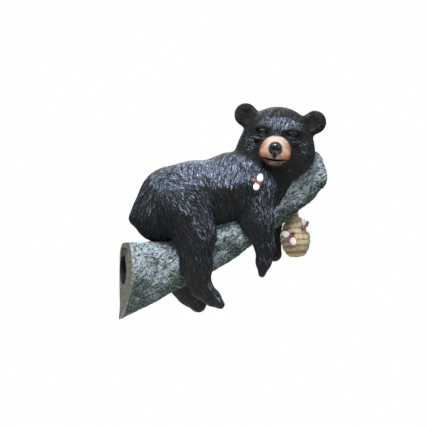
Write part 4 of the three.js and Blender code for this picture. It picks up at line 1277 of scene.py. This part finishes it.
def hive_tree():
    """Geometry nodes that wind a skep of rolled coils: a sheet bent round by its radius rule."""
    tree = bpy.data.node_groups.new("wound hive", "GeometryNodeTree")
    for label, kind, value in HIVE_TREE_INPUTS:
        tree.interface.new_socket(label, in_out="INPUT", socket_type=kind).default_value = value
    tree.interface.new_socket("Finish", in_out="INPUT", socket_type="NodeSocketMaterial")
    tree.interface.new_socket("Geometry", in_out="OUTPUT", socket_type="NodeSocketGeometry")
    given = tree.nodes.new("NodeGroupInput").outputs
    sheet = put(tree, "GeometryNodeMeshGrid", {"Size X": 1.0, "Size Y": 1.0,
                                               "Vertices X": HIVE_COLUMNS, "Vertices Y": HIVE_ROWS})
    here = put(tree, "ShaderNodeSeparateXYZ", {0: put(tree, "GeometryNodeInputPosition").outputs[0]})
    turn = times(tree, plus(tree, here.outputs[0], 0.5), 2 * math.pi)
    t = plus(tree, here.outputs[1], 0.5)
    off = minus(tree, t, given["Widest"])
    crown = maths(tree, "GREATER_THAN", off, 0.0)
    reach = mixed(tree, crown, HIVE_BOWL[0], HIVE_CROWN[0], "FLOAT")
    power = mixed(tree, crown, HIVE_BOWL[1], HIVE_CROWN[1], "FLOAT")
    bulge = maths(tree, "POWER", maths(tree, "ABSOLUTE", maths(tree, "DIVIDE", off, reach)), power)
    egg = maths(tree, "SQRT", maths(tree, "MAXIMUM", minus(tree, 1.0, bulge), 0.0))
    half = minus(tree, times(tree, given["Across"], 0.5), given["Coil Depth"])
    wander = times(tree, maths(tree, "SINE", plus(tree, turn, 0.6)), COIL_WANDER)
    share = maths(tree, "DIVIDE", t, given["Coiled Share"])
    phase = plus(tree, times(tree, share, given["Coils"]), wander)
    coil = maths(tree, "ABSOLUTE", maths(tree, "SINE", times(tree, phase, math.pi)))
    rolled = maths(tree, "POWER", coil, COIL_ROLL)
    wound = plus(tree, times(tree, half, egg), times(tree, rolled, given["Coil Depth"]))
    wound = times(tree, wound, ranged(tree, t, 0.0, 0.03))
    stem_from = minus(tree, given["Coiled Share"], 0.03)
    stem_share = ranged(tree, t, stem_from, given["Coiled Share"])
    radius = mixed(tree, stem_share, wound, given["Stem Radius"], "FLOAT")
    radius = times(tree, radius, maths(tree, "LESS_THAN", t, 0.9999))
    stem = times(tree, ranged(tree, t, given["Coiled Share"], 1.0), given["Stem Length"])
    x = times(tree, radius, maths(tree, "COSINE", turn))
    y = times(tree, radius, maths(tree, "SINE", turn))
    z = plus(tree, times(tree, t, given["Height"]), stem)
    spot = put(tree, "ShaderNodeCombineXYZ", {0: x, 1: y, 2: z}).outputs[0]
    lean = put(tree, "ShaderNodeCombineXYZ", {1: given["Lean"]}).outputs[0]
    steps = (
        ("GeometryNodeStoreNamedAttribute", {"Name": "coil", "Value": rolled}),
        ("GeometryNodeSetPosition", {"Position": spot}),
        ("GeometryNodeMergeByDistance", {"Distance": WELD}),
        ("GeometryNodeSetShadeSmooth", {}),
        ("GeometryNodeTransform", {"Translation": given["Place"], "Rotation": lean}),
        ("GeometryNodeRealizeInstances", {}),
        ("GeometryNodeSetMaterial", {"Material": given["Finish"]}),
    )
    shape = sheet.outputs[0]
    for kind, inputs in steps:
        shape = put(tree, kind, {0: shape, **inputs}).outputs[0]
    out = tree.nodes.new("NodeGroupOutput")
    tree.links.new(shape, out.inputs[0])
    return tree


def grown(name, tree, values):
    """A plain mesh piece made by a geometry node tree with the given inputs."""
    seed = bpy.data.objects.new(name + "_seed", bpy.data.meshes.new(name + "_seed"))
    bpy.context.scene.collection.objects.link(seed)
    modifier = seed.modifiers.new("grow", "NODES")
    modifier.node_group = tree
    for item in tree.interface.items_tree:
        if item.in_out == "INPUT" and item.name in values:
            modifier[item.identifier] = values[item.name]
    shown = seed.evaluated_get(bpy.context.evaluated_depsgraph_get())
    mesh = bpy.data.meshes.new_from_object(shown)
    seed.modifiers.remove(modifier)
    bpy.data.objects.remove(seed)
    mesh.name = name
    piece = bpy.data.objects.new(name, mesh)
    bpy.context.scene.collection.objects.link(piece)
    return piece


def make_hive(finish):
    stand_for(grown("hive", hive_tree(), {"Finish": finish}), "beehive")


# ------------------------------------------------------------------ the bees
def ball(centre, radii, rows, columns, shape=None):
    """An ellipsoid with its poles along x: points, faces and each point's share along it."""
    along = np.linspace(0, np.pi, rows + 1)[1:-1]
    turn = np.linspace(0, 2 * np.pi, columns, endpoint=False)
    ring = np.stack(np.broadcast_arrays(-np.cos(along)[:, None], np.sin(along)[:, None] * np.cos(turn),
                                        np.sin(along)[:, None] * np.sin(turn)), axis=-1)
    if shape is not None:
        ring = shape(ring)
    points = np.concatenate((ring.reshape(-1, 3), ((-1, 0, 0), (1, 0, 0))))
    quads, caps = tube_faces(rows - 1, columns)
    return points * radii + centre, quads, caps, points[:, 0]


def rod(path, radii, sides=8):
    """A closed round rod along a path, thinner or thicker by its radii."""
    path = np.array(path, dtype=float)
    heading = unit(np.gradient(path, axis=0))
    side = unit(np.cross(heading, (0.13, 0.21, 0.97)))
    up = np.cross(side, heading)
    turn = np.linspace(0, 2 * np.pi, sides, endpoint=False)
    ring = side[:, None] * np.cos(turn)[:, None] + up[:, None] * np.sin(turn)[:, None]
    grid = path[:, None] + ring * np.array(radii)[:, None, None]
    points = np.concatenate((grid.reshape(-1, 3), path[:1], path[-1:]))
    return points, *tube_faces(len(path), sides), np.zeros(len(points))


def wing(side):
    """A rounded wing, thin at its edge, with its veins raised."""
    def leaf(ring):
        out = ring.copy()
        veins = np.abs(np.sin(5.0 * np.arctan2(ring[..., 1], ring[..., 0] + 1.4)))
        out[..., 2] = ring[..., 2] * (0.75 + 0.35 * veins)
        return out

    points, quads, caps, share = ball((0, 0, 0), WING["radii"], WING["rings"], WING["facets"], leaf)
    turned = (Matrix.Rotation(side * math.radians(WING["sweep"]), 3, "Z")
              @ Matrix.Rotation(side * math.radians(WING["tilt"]), 3, "X"))
    x, y, z = WING["root"]
    return points @ np.array(turned).T + (x, side * y, z), quads, caps, share


def ringed(ring):
    return ring * (1 + 0.05 * np.cos(ring[..., :1] * BEE_RINGS))


def bee_shape():
    """A bee along x, standing on z = 0: points, quads, triangles, finish and notes."""
    parts = [(name, ball(*lump, ringed if name == "abdomen" else None)) for name, *lump in BEE_LUMPS]
    parts += [("wing", wing(-1)), ("wing", wing(1))]
    for side in (-1, 1):
        parts.append(("limb", rod([(x, side * y, z) for x, y, z in FEELER], FEELER_RADII)))
        for root, reach in LEGS:
            leg = ((root, side * 2.2, 2.4), (root + 0.5 * reach, side * 4.0, 2.6),
                   (root + 0.8 * reach, side * 4.9, 1.3), (root + reach, side * 5.4, 0.4))
            parts.append(("limb", rod(leg, LEG_RADII)))
    points, quads, caps, quad_paint, cap_paint, bands, relief = ([] for _ in range(7))
    count = 0
    for name, (own, own_quads, own_caps, share) in parts:
        points.append(own)
        quads.append(own_quads + count)
        caps.append(own_caps + count)
        count += len(own)
        is_wing = int(name == "wing")
        quad_paint.append(np.full(len(own_quads), is_wing))
        cap_paint.append(np.full(len(own_caps), is_wing))
        tone = BEE_TONE.get(name, 0)
        if name == "abdomen":
            bands.append(0.5 + 0.5 * np.cos(share * BEE_RINGS))
            relief.append(0.5 + 0.3 * np.cos(share * BEE_RINGS))
        else:
            bands.append(np.full(len(own), tone))
            relief.append(np.full(len(own), 0.9 if is_wing else 0.45 * tone + 0.2))
    notes = {"band": np.concatenate(bands), "relief": np.concatenate(relief)}
    return (np.concatenate(points) * (BEE_LENGTH / BEE_DRAWN), np.concatenate(quads),
            np.concatenate(caps), np.concatenate(quad_paint + cap_paint), notes)


def sit(points, spot, outward, ahead):
    """Sets a bee on a surface spot, belly down, facing ahead."""
    up = unit(np.array(outward, dtype=float))
    forward = np.array(ahead, dtype=float)
    forward = unit(forward - up * (forward @ up))
    side = np.cross(up, forward)
    return points @ np.stack((forward, side, up)) + spot + up * TOUCH_GAP


def hive_spot(t, turn):
    """A spot on the hive's side, t up it and turned round it: (point, outward)."""
    turn = math.radians(turn)
    reach, power = HIVE_BOWL if t < HIVE_WIDEST else HIVE_CROWN
    egg = math.sqrt(max(1 - abs((t - HIVE_WIDEST) / reach) ** power, 0))
    radius = (HIVE["across"] / 2 - HIVE["depth"]) * egg + HIVE["depth"]
    out = np.array((math.cos(turn), math.sin(turn), 0))
    spot = np.array((out[0] * radius, out[1] * radius, t * (HIVE["high"] - HIVE["low"])))
    tilt = np.array(Matrix.Rotation(math.radians(-HIVE["lean"]), 3, "Y"))
    return tilt @ spot + (HIVE["x"], HIVE["y"], HIVE["low"]), tilt @ out


def shoulder_spot():
    """Where a line from the near side meets the shoulder: (point, outward)."""
    spot = np.array((SHOULDER_SPOT,), dtype=np.float32)
    for _ in range(200):
        spot[0, 1] += 0.8 * bear_field(spot)[0]
    return spot[0].astype(float), slope(bear_field, spot)[0].astype(float)


def make_bees(body, wings):
    places = (
        ("bee_shoulder", "bee_on_shoulder", shoulder_spot(), (0.8, 0, -0.45)),
        ("bee_hive_front", "bee_on_hive_front", hive_spot(0.48, -130), (0.75, 0, 0.66)),
        ("bee_hive_side", "bee_on_hive_side", hive_spot(0.71, -68), (0.7, -0.2, 0.5)),
    )
    for name, node, (spot, outward), ahead in places:
        points, quads, caps, paints, notes = bee_shape()
        piece = make_piece(name, sit(points, spot, outward, ahead), (quads, caps), (body, wings),
                           notes, finish_of=paints)
        stand_for(piece, node)


# ------------------------------------------------------------------ the studio
CAMERA_AIM = (0.1607, 0.0, 0.1335)
CAMERA_TURN = -18  # degrees
CAMERA_DISTANCE = 1.657
LENS = 80
SENSOR = 36
FLOOR_MIDDLE = 160
FLOOR_Z = -450
FLOOR_RADIUS = 820
FLOOR_SIDES = 96
LAMP_AIM = (0.18, 0, 0.15)
# Name, place, size, power and colour
LAMPS = (
    ("key", (-0.35, -1.0, 1.8), 0.7, 46, (0.97, 0.98, 1.0)),
    ("fill", (1.3, -1.3, 0.6), 1.2, 5, (0.94, 0.97, 1.0)),
    ("rim", (0.6, 1.4, 1.2), 1.0, 9, (1.0, 1.0, 1.0)),
)
SKY_LOW = 0.05
SKY_HIGH = 0.6


def make_camera():
    camera = bpy.data.cameras.new("camera")
    camera.lens = LENS
    camera.sensor_width = SENSOR
    camera.clip_start = 0.05
    holder = bpy.data.objects.new("camera", camera)
    turn = math.radians(CAMERA_TURN)
    holder.location = (CAMERA_AIM[0] + CAMERA_DISTANCE * math.sin(turn),
                       CAMERA_AIM[1] - CAMERA_DISTANCE * math.cos(turn), CAMERA_AIM[2])
    holder.rotation_euler = (math.radians(90), 0, turn)
    bpy.context.scene.collection.objects.link(holder)
    bpy.context.scene.camera = holder


def make_lamp(name, spot, size, power, colour):
    lamp = bpy.data.lights.new(name, "AREA")
    lamp.shape = "DISK"
    lamp.size = size
    lamp.energy = power
    lamp.color = colour
    holder = bpy.data.objects.new(name, lamp)
    holder.location = spot
    direction = np.array(LAMP_AIM, dtype=float) - spot
    pitch = math.atan2(math.hypot(direction[0], direction[1]), -direction[2])
    holder.rotation_euler = (pitch, 0, math.atan2(direction[0], -direction[1]) + math.pi)
    bpy.context.scene.collection.objects.link(holder)


def make_floor():
    turn = np.linspace(0, 2 * np.pi, FLOOR_SIDES, endpoint=False)
    circle = np.stack((np.cos(turn), np.sin(turn), np.zeros(FLOOR_SIDES)), axis=-1)
    middle = np.array(((FLOOR_MIDDLE, 0, FLOOR_Z),))
    points = np.concatenate((middle + 0.5 * FLOOR_RADIUS * circle, middle + FLOOR_RADIUS * circle, middle))
    inner = np.arange(FLOOR_SIDES)
    ahead = np.roll(inner, -1)
    quads = np.stack((inner, inner + FLOOR_SIDES, ahead + FLOOR_SIDES, ahead), axis=1)
    fan = np.stack((inner, ahead, np.full(FLOOR_SIDES, 2 * FLOOR_SIDES)), axis=1)
    finish, _, shader = new_finish("studio_floor", Roughness=0.9)
    shader.inputs["Base Color"].default_value = (0.9, 0.9, 0.9, 1)
    make_piece("studio_floor", points, (quads, fan), (finish,))


def make_studio():
    """The floor, the lamps, and a sky that's white to the camera and dim to the object."""
    make_floor()
    world = bpy.data.worlds.new("studio")
    bpy.context.scene.world = world
    world.use_nodes = True
    tree = world.node_tree
    backdrop = tree.nodes["Background"]
    rise = put(tree, "ShaderNodeSeparateXYZ", {0: put(tree, "ShaderNodeTexCoord").outputs["Generated"]})
    sky = ranged(tree, rise.outputs[2], -0.4, 0.9, SKY_LOW, SKY_HIGH)
    seen = put(tree, "ShaderNodeLightPath").outputs["Is Camera Ray"]
    tree.links.new(mixed(tree, seen, sky, 1.0, "FLOAT"), backdrop.inputs["Strength"])
    backdrop.inputs["Color"].default_value = (1, 1, 1, 1)
    for lamp in LAMPS:
        make_lamp(*lamp)
    bpy.context.scene.view_settings.view_transform = "Standard"


def main():
    make_camera()
    make_studio()
    make_bear(painted_fur())
    make_branch(painted_bark())
    make_hive(coiled_straw())
    make_bees(bee_paint(), wing_paint())
    metal = strap_metal()
    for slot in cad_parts["hanger_plate"].material_slots:
        slot.material = metal


main()
